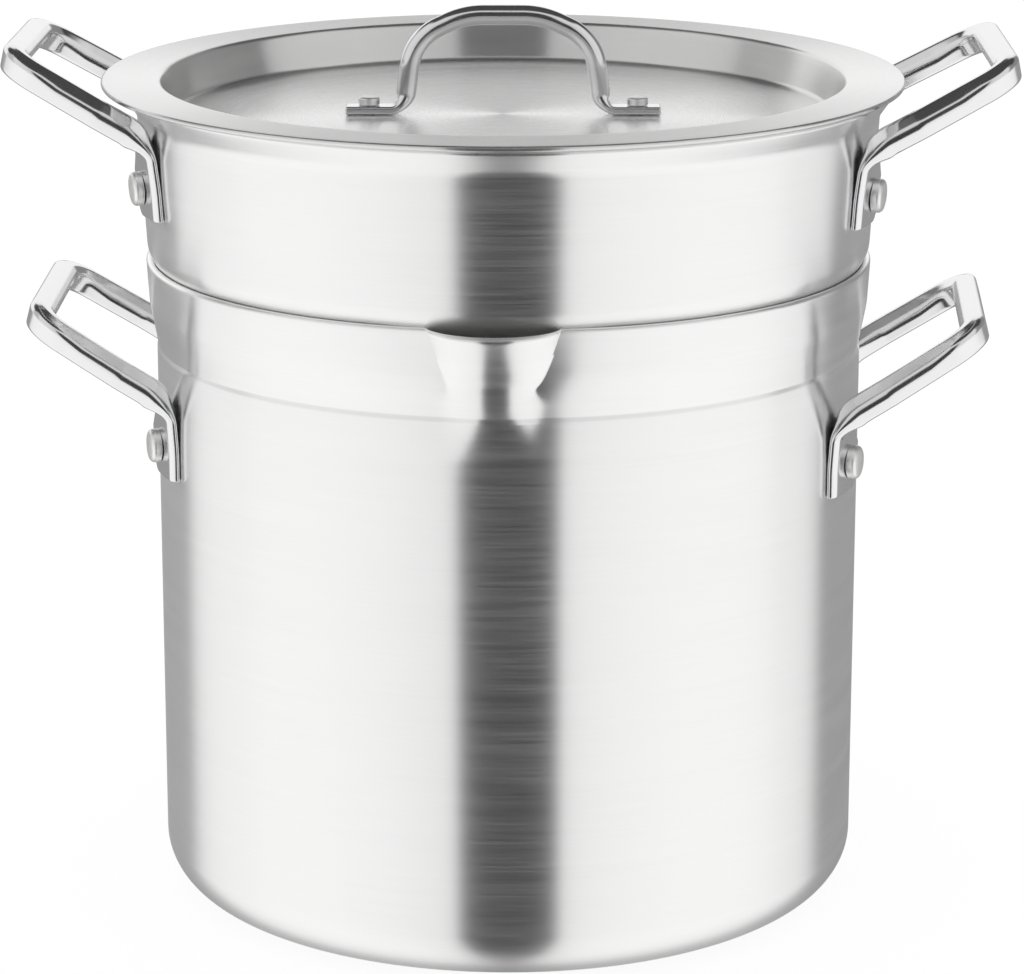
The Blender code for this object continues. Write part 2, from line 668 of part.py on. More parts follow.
def make_lid_handle(material, axis):
    """The rod's round section flattens through the lower bend into the foot's flat bar."""
    top_z = FLOOR_TOP_Z + ROD_HEIGHT - ROD_RADIUS
    half = rounded([
        (0.0, top_z, 0.0),
        (ROD_LEG, top_z, ROD_SHOULDER),
        (ROD_LEG, ROD_FOOT_Z, ROD_FOOT_BEND),
        (ROD_LEG + ROD_FLAT_END, ROD_FOOT_Z, 0.0),
        (ROD_FOOT_END, ROD_FOOT_Z, 0.0),
    ])
    points = [np.array([-p[0], p[1]]) for p in half[:0:-1]] + half
    rings = []
    for i, point in enumerate(points):
        along = points[min(i + 1, len(points) - 1)] - points[max(i - 1, 0)]
        along /= np.linalg.norm(along)
        flat = float(smooth(1.0 - (point[1] - ROD_FOOT_Z) / ROD_FLAT_START))
        thick = ROD_RADIUS + (ROD_FOOT_THICK / 2 - ROD_RADIUS) * flat
        wide = ROD_RADIUS + (ROD_FOOT_HALF_WIDTH - ROD_RADIUS) * flat
        edge = min(ROD_RADIUS + (ROD_FOOT_EDGE - ROD_RADIUS) * flat, ROD_ROUNDNESS * thick)
        rings.append([(point[0] - along[1] * up, across, point[1] + along[0] * up)
                      for across, up in section(wide, thick, edge)])
    return tube("lid_handle", rings, material, axis)


def rivet_lid(handle, lid, material, axis):
    under = FLOOR_TOP_Z - LID_SHEET - SEAT_GAP
    grip = SEAT_GAP + LID_SHEET + SEAT_GAP + ROD_FOOT_THICK + SEAT_GAP
    outline = rivet_outline(LID_RIVET_HEAD_RADIUS, LID_RIVET_HEAD_HEIGHT, LID_RIVET_SHANK_RADIUS,
                            grip, LID_RIVET_TAIL_RADIUS, LID_RIVET_TAIL_HEIGHT)
    for row, sign in (("left", -1), ("right", 1)):
        place = (sign * LID_RIVET_PLACE, 0.0, under)
        rivet = turned(f"lid_rivet_{row}", outline, material, axis, steps=RIVET_STEPS)
        stand(rivet, place, (0.0, 0.0, 1.0))
        hole = drill(f"lid_rivet_{row}_hole", LID_RIVET_SHANK_RADIUS + HOLE_GAP, axis)
        stand(hole, place, (0.0, 0.0, 1.0))
        cut(handle, hole)
        cut(lid, hole)


def main():
    clear_scene()
    spun = metal("spun_aluminium", (0.79, 0.79, 0.78), 0.32)
    polished = metal("polished_steel", (0.74, 0.74, 0.75), 0.12)
    rivet_metal = metal("rivet_aluminium", (0.72, 0.72, 0.71), 0.30)

    pot_axis = empty("pot_axis")
    insert_axis = empty("insert_axis", pot_axis, INSERT_TURN)
    lid_axis = empty("lid_axis", insert_axis)
    lid_axis.location.x = LID_SHIFT

    pot = make_pot(spun, pot_axis)
    insert = make_insert(spun, insert_axis)
    lid = make_lid(spun, lid_axis)

    (low_r, low_z, _), (high_r, high_z, _) = insert_corners()[3:5]
    slope = (high_r - low_r) / (high_z - low_z)
    lean = math.degrees(math.atan(slope))
    add_handle(pot, "outer", POT_HEIGHT, lambda z: POT_RADIUS, 0.0, POT_WALL,
               pot_axis, polished, rivet_metal)
    add_handle(insert, "inner", INSERT_TOP_Z, lambda z: low_r + (z - low_z) * slope, lean, INSERT_WALL,
               insert_axis, polished, rivet_metal)

    rod = make_lid_handle(polished, lid_axis)
    rivet_lid(rod, lid, rivet_metal, lid_axis)


main()
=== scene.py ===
# Double boiler in spun aluminium, dressed for its studio picture.
# Metres, Z up, spout to -Y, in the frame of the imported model.
import math

import bmesh
import bpy
import numpy as np
from mathutils import Matrix


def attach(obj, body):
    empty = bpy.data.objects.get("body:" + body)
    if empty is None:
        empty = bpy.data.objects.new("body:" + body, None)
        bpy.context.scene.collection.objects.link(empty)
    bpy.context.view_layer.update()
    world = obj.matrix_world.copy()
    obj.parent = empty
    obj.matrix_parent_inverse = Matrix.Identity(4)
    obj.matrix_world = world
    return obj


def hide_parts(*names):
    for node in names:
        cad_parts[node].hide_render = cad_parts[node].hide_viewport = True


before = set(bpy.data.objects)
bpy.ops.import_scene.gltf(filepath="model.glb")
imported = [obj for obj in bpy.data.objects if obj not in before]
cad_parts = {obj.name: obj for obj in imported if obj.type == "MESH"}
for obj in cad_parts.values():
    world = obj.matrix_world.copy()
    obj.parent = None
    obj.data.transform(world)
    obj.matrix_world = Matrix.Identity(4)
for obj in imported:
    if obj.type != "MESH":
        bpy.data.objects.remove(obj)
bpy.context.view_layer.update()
print("frame loaded")


# meshes from arrays of points

arcShare = 0.49        # the most of a straight side that one arc may take
arcSteps = 4           # the fewest steps of an arc
leastRound = 0.0002    # radius left to a corner that the sheet's thickness uses up
sheetSpacing = 0.0004  # of points along the arcs of sheet metal
hardAngle = 38.0       # degrees between two faces that meet in a hard edge


def roundedLine(corners, spacing):
    # straight sides joined by arcs: each arc has its corner's radius, or less where its sides are short
    points = []
    for i, (x, y, radius) in enumerate(corners):
        here = np.array([x, y])
        if radius <= 0 or i in (0, len(corners) - 1):
            points.append(here)
            continue
        back = np.array(corners[i - 1][:2]) - here
        ahead = np.array(corners[i + 1][:2]) - here
        reach = arcShare * min(np.linalg.norm(back), np.linalg.norm(ahead))
        back /= np.linalg.norm(back)
        ahead /= np.linalg.norm(ahead)
        half = 0.5 * math.acos(np.clip(back @ ahead, -1.0, 1.0))
        sweep = math.pi - 2.0 * half
        if sweep < 1e-4:
            points.append(here)
            continue
        tangent = min(radius / math.tan(half), reach)
        radius = tangent * math.tan(half)
        middle = (back + ahead) / np.linalg.norm(back + ahead)
        centre = here + middle * radius / math.sin(half)
        steps = max(arcSteps, math.ceil(sweep * radius / spacing))
        side = math.copysign(1.0, back[1] * ahead[0] - back[0] * ahead[1])
        a = side * sweep * np.arange(steps + 1) / steps
        fx, fy = here + back * tangent - centre
        spoke = np.stack([fx * np.cos(a) - fy * np.sin(a), fx * np.sin(a) + fy * np.cos(a)], 1)
        points.extend(centre + spoke)
    return np.array(points)


def offsetLine(corners, gaps):
    # a line beside the first one, on its left; every corner keeps the centre of its arc
    starts, directions = [], []
    for (x0, y0, _), (x1, y1, _), gap in zip(corners, corners[1:], gaps):
        direction = np.array([x1 - x0, y1 - y0])
        direction /= np.linalg.norm(direction)
        starts.append(np.array([x0, y0]) + np.array([-direction[1], direction[0]]) * gap)
        directions.append(direction)
    result = [(*starts[0], 0.0)]
    for i in range(1, len(starts)):
        d0, d1 = directions[i - 1], directions[i]
        turn = d0[0] * d1[1] - d0[1] * d1[0]
        across = starts[i] - starts[i - 1]
        along = (across[0] * d1[1] - across[1] * d1[0]) / turn
        x, y = starts[i - 1] + d0 * along
        radius = corners[i][2]
        if radius > 0:
            radius = max(radius - math.copysign(gaps[i], turn), leastRound)
        result.append((x, y, radius))
    length = np.linalg.norm(np.array(corners[-1][:2]) - np.array(corners[-2][:2]))
    result.append((*(starts[-1] + directions[-1] * length), 0.0))
    return result


def sheetOutline(outside, gaps, rimRound, levelRim):
    # up the outside, over the rim and down the inside to the axis
    inside = offsetLine(outside, gaps)
    inside[0] = (0.0, inside[0][1], 0.0)
    if levelRim:
        (x0, z0, _), (x1, z1, _) = inside[-2:]
        z = outside[-1][1]
        inside[-1] = (x0 + (x1 - x0) * (z - z0) / (z1 - z0), z, 0.0)
    rimOut = (*outside[-1][:2], rimRound)
    rimIn = (*inside[-1][:2], rimRound)
    return roundedLine(outside[:-1] + [rimOut, rimIn] + inside[-2::-1], sheetSpacing)


def filledIn(points, spacing):
    # extra points along every stretch longer than the spacing
    spacing = np.broadcast_to(spacing, len(points) - 1)
    lengths = np.linalg.norm(np.diff(points, axis=0), axis=1)
    counts = np.maximum(np.ceil(lengths / spacing).astype(int), 1)
    stretch = np.repeat(np.arange(len(counts)), counts)
    share = (np.arange(counts.sum()) - np.repeat(np.cumsum(counts) - counts, counts)) / counts[stretch]
    inner = points[stretch] + (points[stretch + 1] - points[stretch]) * share[:, None]
    return np.vstack([inner, points[-1:]])


def makeMesh(name, verts, quads, triangles, quadUv, triangleUv):
    mesh = bpy.data.meshes.new(name)
    mesh.from_pydata(verts.tolist(), [], quads.tolist() + triangles.tolist())
    layer = mesh.uv_layers.new(name="UVMap")
    corners = np.concatenate([quadUv.reshape(-1), triangleUv.reshape(-1)])
    layer.data.foreach_set("uv", corners.astype(np.float32))
    bm = bmesh.new()
    bm.from_mesh(mesh)
    bmesh.ops.recalc_face_normals(bm, faces=bm.faces)
    bm.to_mesh(mesh)
    bm.free()
    mesh.shade_smooth()
    mesh.set_sharp_from_angle(angle=math.radians(hardAngle))
    obj = bpy.data.objects.new(name, mesh)
    bpy.context.scene.collection.objects.link(obj)
    return obj


def turnedSurface(name, outline, columns, warp=None):
    # radius and height from the outline, swept through the columns' angles, -Y being 0
    count = len(columns)
    radius, angle = np.broadcast_arrays(outline[1:-1, :1], columns[None, :])
    height = np.broadcast_to(outline[1:-1, 1:], radius.shape)
    length = np.concatenate([[0.0], np.cumsum(np.linalg.norm(np.diff(outline, axis=0), axis=1))])
    if warp:
        radius, angle, height = warp(radius, angle, height)
    grid = np.stack([radius * np.sin(angle), -radius * np.cos(angle), height], 2)
    rows = len(grid)
    poles = np.array([[0.0, 0.0, outline[0, 1]], [0.0, 0.0, outline[-1, 1]]])
    verts = np.vstack([grid.reshape(-1, 3), poles])
    i, j = np.meshgrid(np.arange(rows - 1), np.arange(count), indexing="ij")
    k = (j + 1) % count
    quads = np.stack([i * count + j, (i + 1) * count + j, (i + 1) * count + k, i * count + k], 2)
    wrapped = np.append(columns, columns[0] + 2.0 * math.pi) * np.max(outline[:, 0])
    u0, u1 = wrapped[j], wrapped[j + 1]
    v0, v1 = length[1:][i], length[1:][i + 1]
    quadUv = np.stack([u0, v0, u0, v1, u1, v1, u1, v0], 2)
    j = np.arange(count)
    k = (j + 1) % count
    last = (rows - 1) * count
    triangles = np.vstack([
        np.stack([np.full(count, rows * count), j, k], 1),
        np.stack([np.full(count, rows * count + 1), last + k, last + j], 1)])
    u0, u1 = wrapped[:-1], wrapped[1:]
    ends = np.stack([np.full(count, length[0]), np.full(count, length[1]),
                     np.full(count, length[-1]), np.full(count, length[-2])], 1)
    triangleUv = np.vstack([
        np.stack([(u0 + u1) / 2, ends[:, 0], u0, ends[:, 1], u1, ends[:, 1]], 1),
        np.stack([(u0 + u1) / 2, ends[:, 2], u1, ends[:, 3], u0, ends[:, 3]], 1)])
    return makeMesh(name, verts, quads.reshape(-1, 4), triangles, quadUv, triangleUv)


def sweptSurface(name, rings):
    # closed rings of points joined in order, with a fan over each end
    rows, count = rings.shape[:2]
    verts = np.vstack([rings.reshape(-1, 3), rings[0].mean(0)[None], rings[-1].mean(0)[None]])
    i, j = np.meshgrid(np.arange(rows - 1), np.arange(count), indexing="ij")
    k = (j + 1) % count
    quads = np.stack([i * count + j, i * count + k, (i + 1) * count + k, (i + 1) * count + j], 2)
    around = np.linalg.norm(np.roll(rings, -1, 1) - rings, axis=2).mean(0)
    u = np.concatenate([[0.0], np.cumsum(around)])
    middle = rings.mean(1)
    v = np.concatenate([[0.0], np.cumsum(np.linalg.norm(np.diff(middle, axis=0), axis=1))])
    quadUv = np.stack([u[j], v[i], u[j + 1], v[i], u[j + 1], v[i + 1], u[j], v[i + 1]], 2)
    j = np.arange(count)
    k = (j + 1) % count
    last = (rows - 1) * count
    triangles = np.vstack([
        np.stack([np.full(count, rows * count), k, j], 1),
        np.stack([np.full(count, rows * count + 1), last + j, last + k], 1)])
    flat = np.stack([u[:-1], np.zeros(count), u[1:], np.zeros(count), u[:-1], np.full(count, 0.001)], 1)
    return makeMesh(name, verts, quads.reshape(-1, 4), triangles, quadUv, np.vstack([flat, flat]))


def smooth(t):
    t = np.clip(t, 0.0, 1.0)
    return t * t * (3.0 - 2.0 * t)


def finishPiece(obj, body, slotName, material, *nodes):
    obj.data.materials.append(material)
    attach(obj, body)
    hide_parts(*nodes)
    return obj


def rollPoints(obj, degrees, height):
    # about a line along X at this height
    raised = Matrix.Translation((0.0, 0.0, height))
    obj.data.transform(raised @ Matrix.Rotation(math.radians(degrees), 4, "X") @ raised.inverted())


def turnPoints(obj, degrees, shift=(0.0, 0.0, 0.0)):
    obj.data.transform(Matrix.Translation(shift))
    obj.data.transform(Matrix.Rotation(math.radians(degrees), 4, "Z"))


# finishes

def newMaterial(name):
    material = bpy.data.materials.new(name)
    material.use_nodes = True
    tree = material.node_tree
    return material, tree, tree.nodes["Principled BSDF"]


def link(tree, source, target):
    tree.links.new(source, target)


def maths(tree, operation, a, b=None):
    node = tree.nodes.new("ShaderNodeMath")
    node.operation = operation
    for socket, value in zip(node.inputs, (a, b)):
        if value is None:
            continue
        if isinstance(value, (int, float)):
            socket.default_value = value
        else:
            link(tree, value, socket)
    return node.outputs[0]


def mapRange(tree, value, start, end, low, high, kind="LINEAR"):
    # low at the start, high at the end
    node = tree.nodes.new("ShaderNodeMapRange")
    node.interpolation_type = kind
    for name, number in (("From Min", start), ("From Max", end), ("To Min", low), ("To Max", high)):
        node.inputs[name].default_value = number
    link(tree, value, node.inputs["Value"])
    return node.outputs[0]


def noise(tree, vector, scale, detail):
    node = tree.nodes.new("ShaderNodeTexNoise")
    node.inputs["Scale"].default_value = scale
    node.inputs["Detail"].default_value = detail
    link(tree, vector, node.inputs["Vector"])
    return node.outputs["Fac"]


def bump(tree, height, strength, distance, shader):
    node = tree.nodes.new("ShaderNodeBump")
    node.inputs["Strength"].default_value = strength
    node.inputs["Distance"].default_value = distance
    link(tree, height, node.inputs["Height"])
    link(tree, node.outputs[0], shader.inputs["Normal"])


brushing = {"fineDetail": 3.0, "broadDetail": 2.0, "fineShare": 0.6, "dullFrom": 0.40, "dullTo": 0.62}


def makeBrushGroup():
    # Fine lines that run round a turned piece: noise stretched along the turn and packed across it.
    # Across is metres along the profile, so the lines follow walls, cones and floors alike.
    group = bpy.data.node_groups.new("brushLines", "ShaderNodeTree")
    face = group.interface
    for name in ("Across", "Fine Lines", "Broad Lines", "Turn Length", "Depth"):
        face.new_socket(name=name, in_out="INPUT", socket_type="NodeSocketFloat")
    face.new_socket(name="Place", in_out="INPUT", socket_type="NodeSocketVector")
    face.new_socket(name="Shade", in_out="OUTPUT", socket_type="NodeSocketFloat")
    face.new_socket(name="Height", in_out="OUTPUT", socket_type="NodeSocketFloat")
    inside = group.nodes.new("NodeGroupInput")
    outside = group.nodes.new("NodeGroupOutput")
    place = group.nodes.new("ShaderNodeSeparateXYZ")
    link(group, inside.outputs["Place"], place.inputs[0])
    x = maths(group, "MULTIPLY", place.outputs[0], inside.outputs["Turn Length"])
    y = maths(group, "MULTIPLY", place.outputs[1], inside.outputs["Turn Length"])
    layers = []
    fine = brushing["fineShare"]
    for packing, detail, share in (("Fine Lines", brushing["fineDetail"], fine),
                                   ("Broad Lines", brushing["broadDetail"], 1.0 - fine)):
        across = maths(group, "MULTIPLY", inside.outputs["Across"], inside.outputs[packing])
        vector = group.nodes.new("ShaderNodeCombineXYZ")
        for socket, value in zip(vector.inputs, (x, y, across)):
            link(group, value, socket)
        layers.append(maths(group, "MULTIPLY", noise(group, vector.outputs[0], 1.0, detail), share))
    both = maths(group, "ADD", *layers)
    link(group, both, outside.inputs["Height"])
    dip = maths(group, "MULTIPLY", maths(group, "SUBTRACT", 1.0, both), inside.outputs["Depth"])
    link(group, maths(group, "SUBTRACT", 1.0, dip), outside.inputs["Shade"])
    return group


brushLines = makeBrushGroup()


def spunMetal(name, look):
    # aluminium turned on a lathe and brushed along the turn, so that its gloss spreads across the lines
    material, tree, shader = newMaterial(name)
    shader.inputs["Roughness"].default_value = look["roughness"]
    shader.inputs["Anisotropic"].default_value = look["anisotropic"]
    shader.inputs["Anisotropic Rotation"].default_value = look["glossTurn"]
    tangent = tree.nodes.new("ShaderNodeTangent")
    tangent.direction_type = "UV_MAP"
    tangent.uv_map = "UVMap"
    link(tree, tangent.outputs[0], shader.inputs["Tangent"])
    uv = tree.nodes.new("ShaderNodeUVMap")
    uv.uv_map = "UVMap"
    parts = tree.nodes.new("ShaderNodeSeparateXYZ")
    link(tree, uv.outputs[0], parts.inputs[0])
    coords = tree.nodes.new("ShaderNodeTexCoord")
    lines = tree.nodes.new("ShaderNodeGroup")
    lines.node_tree = brushLines
    link(tree, parts.outputs[1], lines.inputs["Across"])
    link(tree, coords.outputs["Object"], lines.inputs["Place"])
    for socket, key in (("Fine Lines", "fineLines"), ("Broad Lines", "broadLines"),
                        ("Turn Length", "turnLength"), ("Depth", "shadeDepth")):
        lines.inputs[socket].default_value = look[key]
    colour = tree.nodes.new("ShaderNodeVectorMath")
    colour.operation = "SCALE"
    colour.inputs[0].default_value = look["colour"]
    link(tree, lines.outputs["Shade"], colour.inputs["Scale"])
    link(tree, colour.outputs[0], shader.inputs["Base Color"])
    # the lines that stand out are duller, and so is a lid's floor inside the wall round it
    metallic = mapRange(tree, lines.outputs["Height"], brushing["dullFrom"], brushing["dullTo"],
                        1.0, 1.0 - look["lineDull"])
    if "floorDull" in look:
        inFloor = mapRange(tree, parts.outputs[1], *look["floorEdge"], look["floorDull"], 0.0, "SMOOTHSTEP")
        metallic = maths(tree, "SUBTRACT", metallic, inFloor)
    link(tree, metallic, shader.inputs["Metallic"])
    bump(tree, lines.outputs["Height"], look["bumpStrength"], look["bumpDistance"], shader)
    return material


def polishedSteel(name, look):
    # rolled steel, bright, with faint waves and a little wear in its gloss
    material, tree, shader = newMaterial(name)
    shader.inputs["Base Color"].default_value = (*look["colour"], 1.0)
    shader.inputs["Metallic"].default_value = 1.0
    coords = tree.nodes.new("ShaderNodeTexCoord")
    place = coords.outputs["Object"]
    wear = noise(tree, place, look["wearScale"], look["wearDetail"])
    roughness = mapRange(tree, wear, 0.0, 1.0, look["roughLow"], look["roughHigh"])
    link(tree, roughness, shader.inputs["Roughness"])
    wave = noise(tree, place, look["waveScale"], look["waveDetail"])
    bump(tree, wave, look["waveStrength"], look["waveDepth"], shader)
    return material


spunLook = {"colour": (0.985, 0.985, 0.98), "roughness": 0.28, "anisotropic": 0.95, "glossTurn": 0.25,
            "fineLines": 1500.0, "broadLines": 200.0, "turnLength": 15.0, "shadeDepth": 0.07,
            "lineDull": 0.075, "bumpStrength": 0.25, "bumpDistance": 0.00003}
# the lid's copy of the spun metal: its darker colour is painted shade that dims the lid below the pots,
# though it is the same aluminium
lidShadedLook = {**spunLook, "colour": (0.80, 0.80, 0.795), "roughness": 0.25, "fineLines": 1200.0,
           "floorDull": 0.34, "floorEdge": (0.119, 0.129)}
steelLook = {"colour": (0.86, 0.86, 0.87), "wearScale": 90.0, "wearDetail": 4.0, "roughLow": 0.12,
             "roughHigh": 0.20, "waveScale": 60.0, "waveDetail": 1.0, "waveStrength": 0.15,
             "waveDepth": 0.0006}
rivetLook = {**steelLook, "colour": (0.92, 0.92, 0.91), "wearScale": 300.0, "roughLow": 0.32,
             "roughHigh": 0.48, "waveScale": 420.0, "waveStrength": 0.4, "waveDepth": 0.0002}

potMetal = spunMetal("spunWall", spunLook)
# the lid's finish carries painted shade in its colour
lidShadedMetal = spunMetal("spunLidShaded", lidShadedLook)
handleSteel = polishedSteel("polishedSteel", steelLook)
rivetMetal = polishedSteel("rivetAluminium", rivetLook)
print("finishes made")


# lower pot

lowerPot = {"radius": 0.1403, "height": 0.2590, "wall": 0.0030, "base": 0.0040, "bottomRound": 0.0210,
            "rimRound": 0.0013, "collarHeight": 0.0340, "collarFlare": 0.0037, "kneeHeight": 0.0160,
            "kneeFlare": 0.0026, "kneeRound": 0.0300, "creaseDepth": 0.0004, "creaseHeight": 0.0018,
            "creaseRound": 0.0008, "creaseFootRound": 0.0040, "collarFrom": 0.0120, "collarStep": 0.0010,
            "wallStep": 0.0080}
pourSpout = {"height": 0.0220, "halfTop": 9.8, "halfBottom": 6.5, "reach": 0.0085, "lowSwell": 0.0025,
             "curl": 1.5, "flank": 0.67, "dip": 0.0023, "fade": 3.0, "blend": 0.0070, "sharpness": 0.004,
             "soften": 0.22, "tail": 0.0260, "tailFade": 0.0200, "dent": 0.0005, "dentStart": 0.6,
             "dentReach": 0.5, "lipTilt": 34.0, "deepest": 1.05, "leftBow": 1.15, "rightBow": 0.62,
             "rightSpread": 0.06}
# columns round the lower pot: how many cross the spout, in degrees how far the close ones and those beside it
# reach and how wide they are, and how many go round the rest
spoutGrid = {"across": 65, "nearReach": 4.0, "nearStep": 0.25, "sideReach": 40.0, "sideStep": 0.6, "far": 240}
turnSteps = 300  # columns round the other turned pieces

creaseZ = lowerPot["height"] - lowerPot["collarHeight"]
rimInside = lowerPot["radius"] + lowerPot["collarFlare"] - lowerPot["wall"]


def spoutColumns():
    # dense across the spout, whose two creases fall on columns, and less so beside it
    p = spoutGrid
    edge = pourSpout["halfTop"]
    near = edge + p["nearReach"]
    inner = np.linspace(-edge, edge, p["across"])
    side = np.concatenate([np.arange(edge, near, p["nearStep"])[1:],
                           np.arange(near, p["sideReach"], p["sideStep"])])
    outer = np.linspace(p["sideReach"], 360.0 - p["sideReach"], p["far"])
    return np.radians(np.concatenate([inner, side, outer, 360.0 - side[::-1]]))


def pressSpout(radius, angle, height):
    # Between its creases the collar swells by a power of one minus the square of the turn, more towards the
    # lip. Over the spout's upper half the sheet tilts out. Below the creases' ends the swell turns smooth and
    # sinks into the wall, and beside the creases is a small dent.
    p = pourSpout
    low = lowerPot["height"] - p["height"]
    top, bottom = math.radians(p["halfTop"]), math.radians(p["halfBottom"])
    signed = (angle + math.pi) % (2.0 * math.pi) - math.pi
    up = np.clip((height - low) / p["height"], 0.0, 1.0)
    right = signed > 0.0
    half = bottom + (top - bottom) * up**np.where(right, p["rightBow"], p["leftBow"])
    half = half * (1.0 + p["rightSpread"] * right * up)
    far = p["fade"] * top
    t = np.clip((np.abs(signed) - top) / (far - top), 0.0, 1.0)
    outer = np.sign(signed) * (half + (far - half) * t)
    turned = np.where(np.abs(signed) <= top + 1e-9, signed / top * half, outer)
    turned = np.where(np.abs(signed) >= far, signed, turned)
    u = np.abs(turned) / half
    ridge = np.clip(1.0 - u * u, 0.0, 1.0)**(1.0 + (p["flank"] - 1.0) * up)
    soft = p["sharpness"] + p["soften"] * smooth((low - height) / p["blend"])
    across = np.where(height >= low, ridge, soft * np.logaddexp(0.0, (1.0 - u * u) / soft))
    swell = p["lowSwell"] + (p["reach"] - p["lowSwell"]) * up**p["curl"]
    swell = swell * smooth((height - low + p["tail"]) / p["tailFade"]) * across
    within = smooth((u - p["dentStart"]) / (1.0 - p["dentStart"]))
    beside = np.where(u < 1.0, within, smooth(1.0 - t / p["dentReach"]))
    dent = p["dent"] * beside * smooth((height - low + p["blend"]) / (2.0 * p["blend"]))
    pot = lowerPot
    slope = (pot["collarFlare"] - pot["kneeFlare"]) / (pot["collarHeight"] - pot["kneeHeight"])
    outside = pot["radius"] + pot["collarFlare"] - (pot["height"] - height) * slope
    depth = np.clip(outside - radius, 0.0, pot["wall"] * p["deepest"])
    tilt = math.radians(p["lipTilt"]) * ridge * smooth(2.0 * up - 1.0)
    return (radius + swell - dent + depth * (1.0 - np.cos(tilt)), turned,
            height - p["dip"] * across * up + depth * np.sin(tilt))


def makeLowerPot():
    p = lowerPot
    outside = [
        (0.0, 0.0, 0.0),
        (p["radius"], 0.0, p["bottomRound"]),
        (p["radius"], creaseZ - p["creaseHeight"], p["creaseFootRound"]),
        (p["radius"] - p["creaseDepth"], creaseZ, p["creaseRound"]),
        (p["radius"] + p["kneeFlare"], creaseZ + p["kneeHeight"], p["kneeRound"]),
        (p["radius"] + p["collarFlare"], p["height"], 0.0),
    ]
    outline = sheetOutline(outside, [p["base"]] + [p["wall"]] * 4, p["rimRound"], True)
    spacing = np.where(outline[:-1, 1] > creaseZ - p["collarFrom"], p["collarStep"], p["wallStep"])
    obj = turnedSurface("lowerPotWall", filledIn(outline, spacing), spoutColumns(), pressSpout)
    return finishPiece(obj, "lower_pot", "spun_aluminium", potMetal, "outer_pot")


makeLowerPot()
print("lower pot made")


# nested pot

nestedPot = {"clearance": 0.0016, "rivetTail": 0.0016, "seatGap": 0.0003, "depth": 0.1270, "stand": 0.0684,
             "wall": 0.0025, "base": 0.0035, "bottomRound": 0.0180, "rimRound": 0.0011, "shoulderAngle": 40.0,
             "shoulderRound": 0.0080, "upperRound": 0.0140, "shoulderOverhang": 0.0022, "neckSpread": 0.0032,
             "flareHeight": 0.0100, "flareReach": 0.0070, "flareRound": 0.0080, "turn": 2.40,
             "wallStep": 0.0040}

nestedRadius = (lowerPot["radius"] - lowerPot["wall"] - nestedPot["seatGap"] - nestedPot["rivetTail"]
                - nestedPot["clearance"])
shoulderTop = rimInside + nestedPot["shoulderOverhang"]
neckRadius = shoulderTop + nestedPot["neckSpread"]
nestedTopZ = lowerPot["height"] + nestedPot["stand"]
plainColumns = (np.arange(turnSteps) + 0.5) * 2.0 * math.pi / turnSteps
bodyTurn = {"lower_pot": 0.0, "nested_pot": nestedPot["turn"]}


def nestedCorners():
    # the shoulder is a cone that passes the lower pot's rounded rim at the seat gap
    p = nestedPot
    slope = math.radians(p["shoulderAngle"])
    away = lowerPot["rimRound"] + p["seatGap"]
    touchR = rimInside + lowerPot["rimRound"] - away * math.cos(slope)
    touchZ = lowerPot["height"] - lowerPot["rimRound"] + away * math.sin(slope)
    coneFoot = touchZ + (nestedRadius - touchR) / math.tan(slope)
    coneTop = touchZ + (shoulderTop - touchR) / math.tan(slope)
    bottomZ = lowerPot["height"] - p["depth"]
    return [
        (0.0, bottomZ, 0.0),
        (nestedRadius, bottomZ, p["bottomRound"]),
        (nestedRadius, coneFoot, p["shoulderRound"]),
        (shoulderTop, coneTop, p["upperRound"]),
        (neckRadius, nestedTopZ - p["flareHeight"], p["flareRound"]),
        (neckRadius + p["flareReach"], nestedTopZ, 0.0),
    ]


def makeNestedPot():
    p = nestedPot
    corners = nestedCorners()
    (x0, z0, _), (x1, z1, _) = corners[-2:]
    run, rise = x1 - x0, z1 - z0
    drop = p["wall"] * run / math.hypot(run, rise)
    corners = corners[:-1] + [(x1 - drop * run / rise, z1 - drop, 0.0)]
    outline = sheetOutline(corners, [p["base"]] + [p["wall"]] * 4, p["rimRound"], False)
    obj = turnedSurface("nestedPotWall", filledIn(outline, p["wallStep"]), plainColumns)
    turnPoints(obj, p["turn"])
    return finishPiece(obj, "nested_pot", "spun_aluminium", potMetal, "inner_pot")


makeNestedPot()
print("nested pot made")


# lid

sunkLid = {"overhang": 0.0047, "sheet": 0.0021, "edgeRound": 0.0009, "recessClearance": 0.0089,
           "recessDraft": 0.0042, "recessDepth": 0.0158, "recessTopRound": 0.0022, "recessFloorRound": 0.0026,
           "shift": -0.0021, "flatStep": 0.0030}

lidRadius = neckRadius + nestedPot["flareReach"] + sunkLid["overhang"]
recessRadius = neckRadius - nestedPot["wall"] - sunkLid["recessClearance"]
flangeTopZ = nestedTopZ + nestedPot["seatGap"] + sunkLid["sheet"]
floorTopZ = flangeTopZ - sunkLid["recessDepth"]
lidShift = (sunkLid["shift"], 0.0, 0.0)


def makeLid():
    p = sunkLid
    top = [
        (0.0, floorTopZ, 0.0),
        (recessRadius - p["recessDraft"], floorTopZ, p["recessFloorRound"]),
        (recessRadius, flangeTopZ, p["recessTopRound"]),
        (lidRadius, flangeTopZ, 0.0),
    ]
    under = offsetLine(top, [-p["sheet"]] * 3)
    edge = [(*top[-1][:2], p["edgeRound"]), (*under[-1][:2], p["edgeRound"])]
    outline = filledIn(roundedLine(top[:-1] + edge + under[-2::-1], sheetSpacing), p["flatStep"])
    obj = turnedSurface("lidSheet", outline, plainColumns)
    turnPoints(obj, nestedPot["turn"], lidShift)
    return finishPiece(obj, "lid_body", "spun_aluminium", lidShadedMetal, "lid")


makeLid()
print("lid made")


# side handles

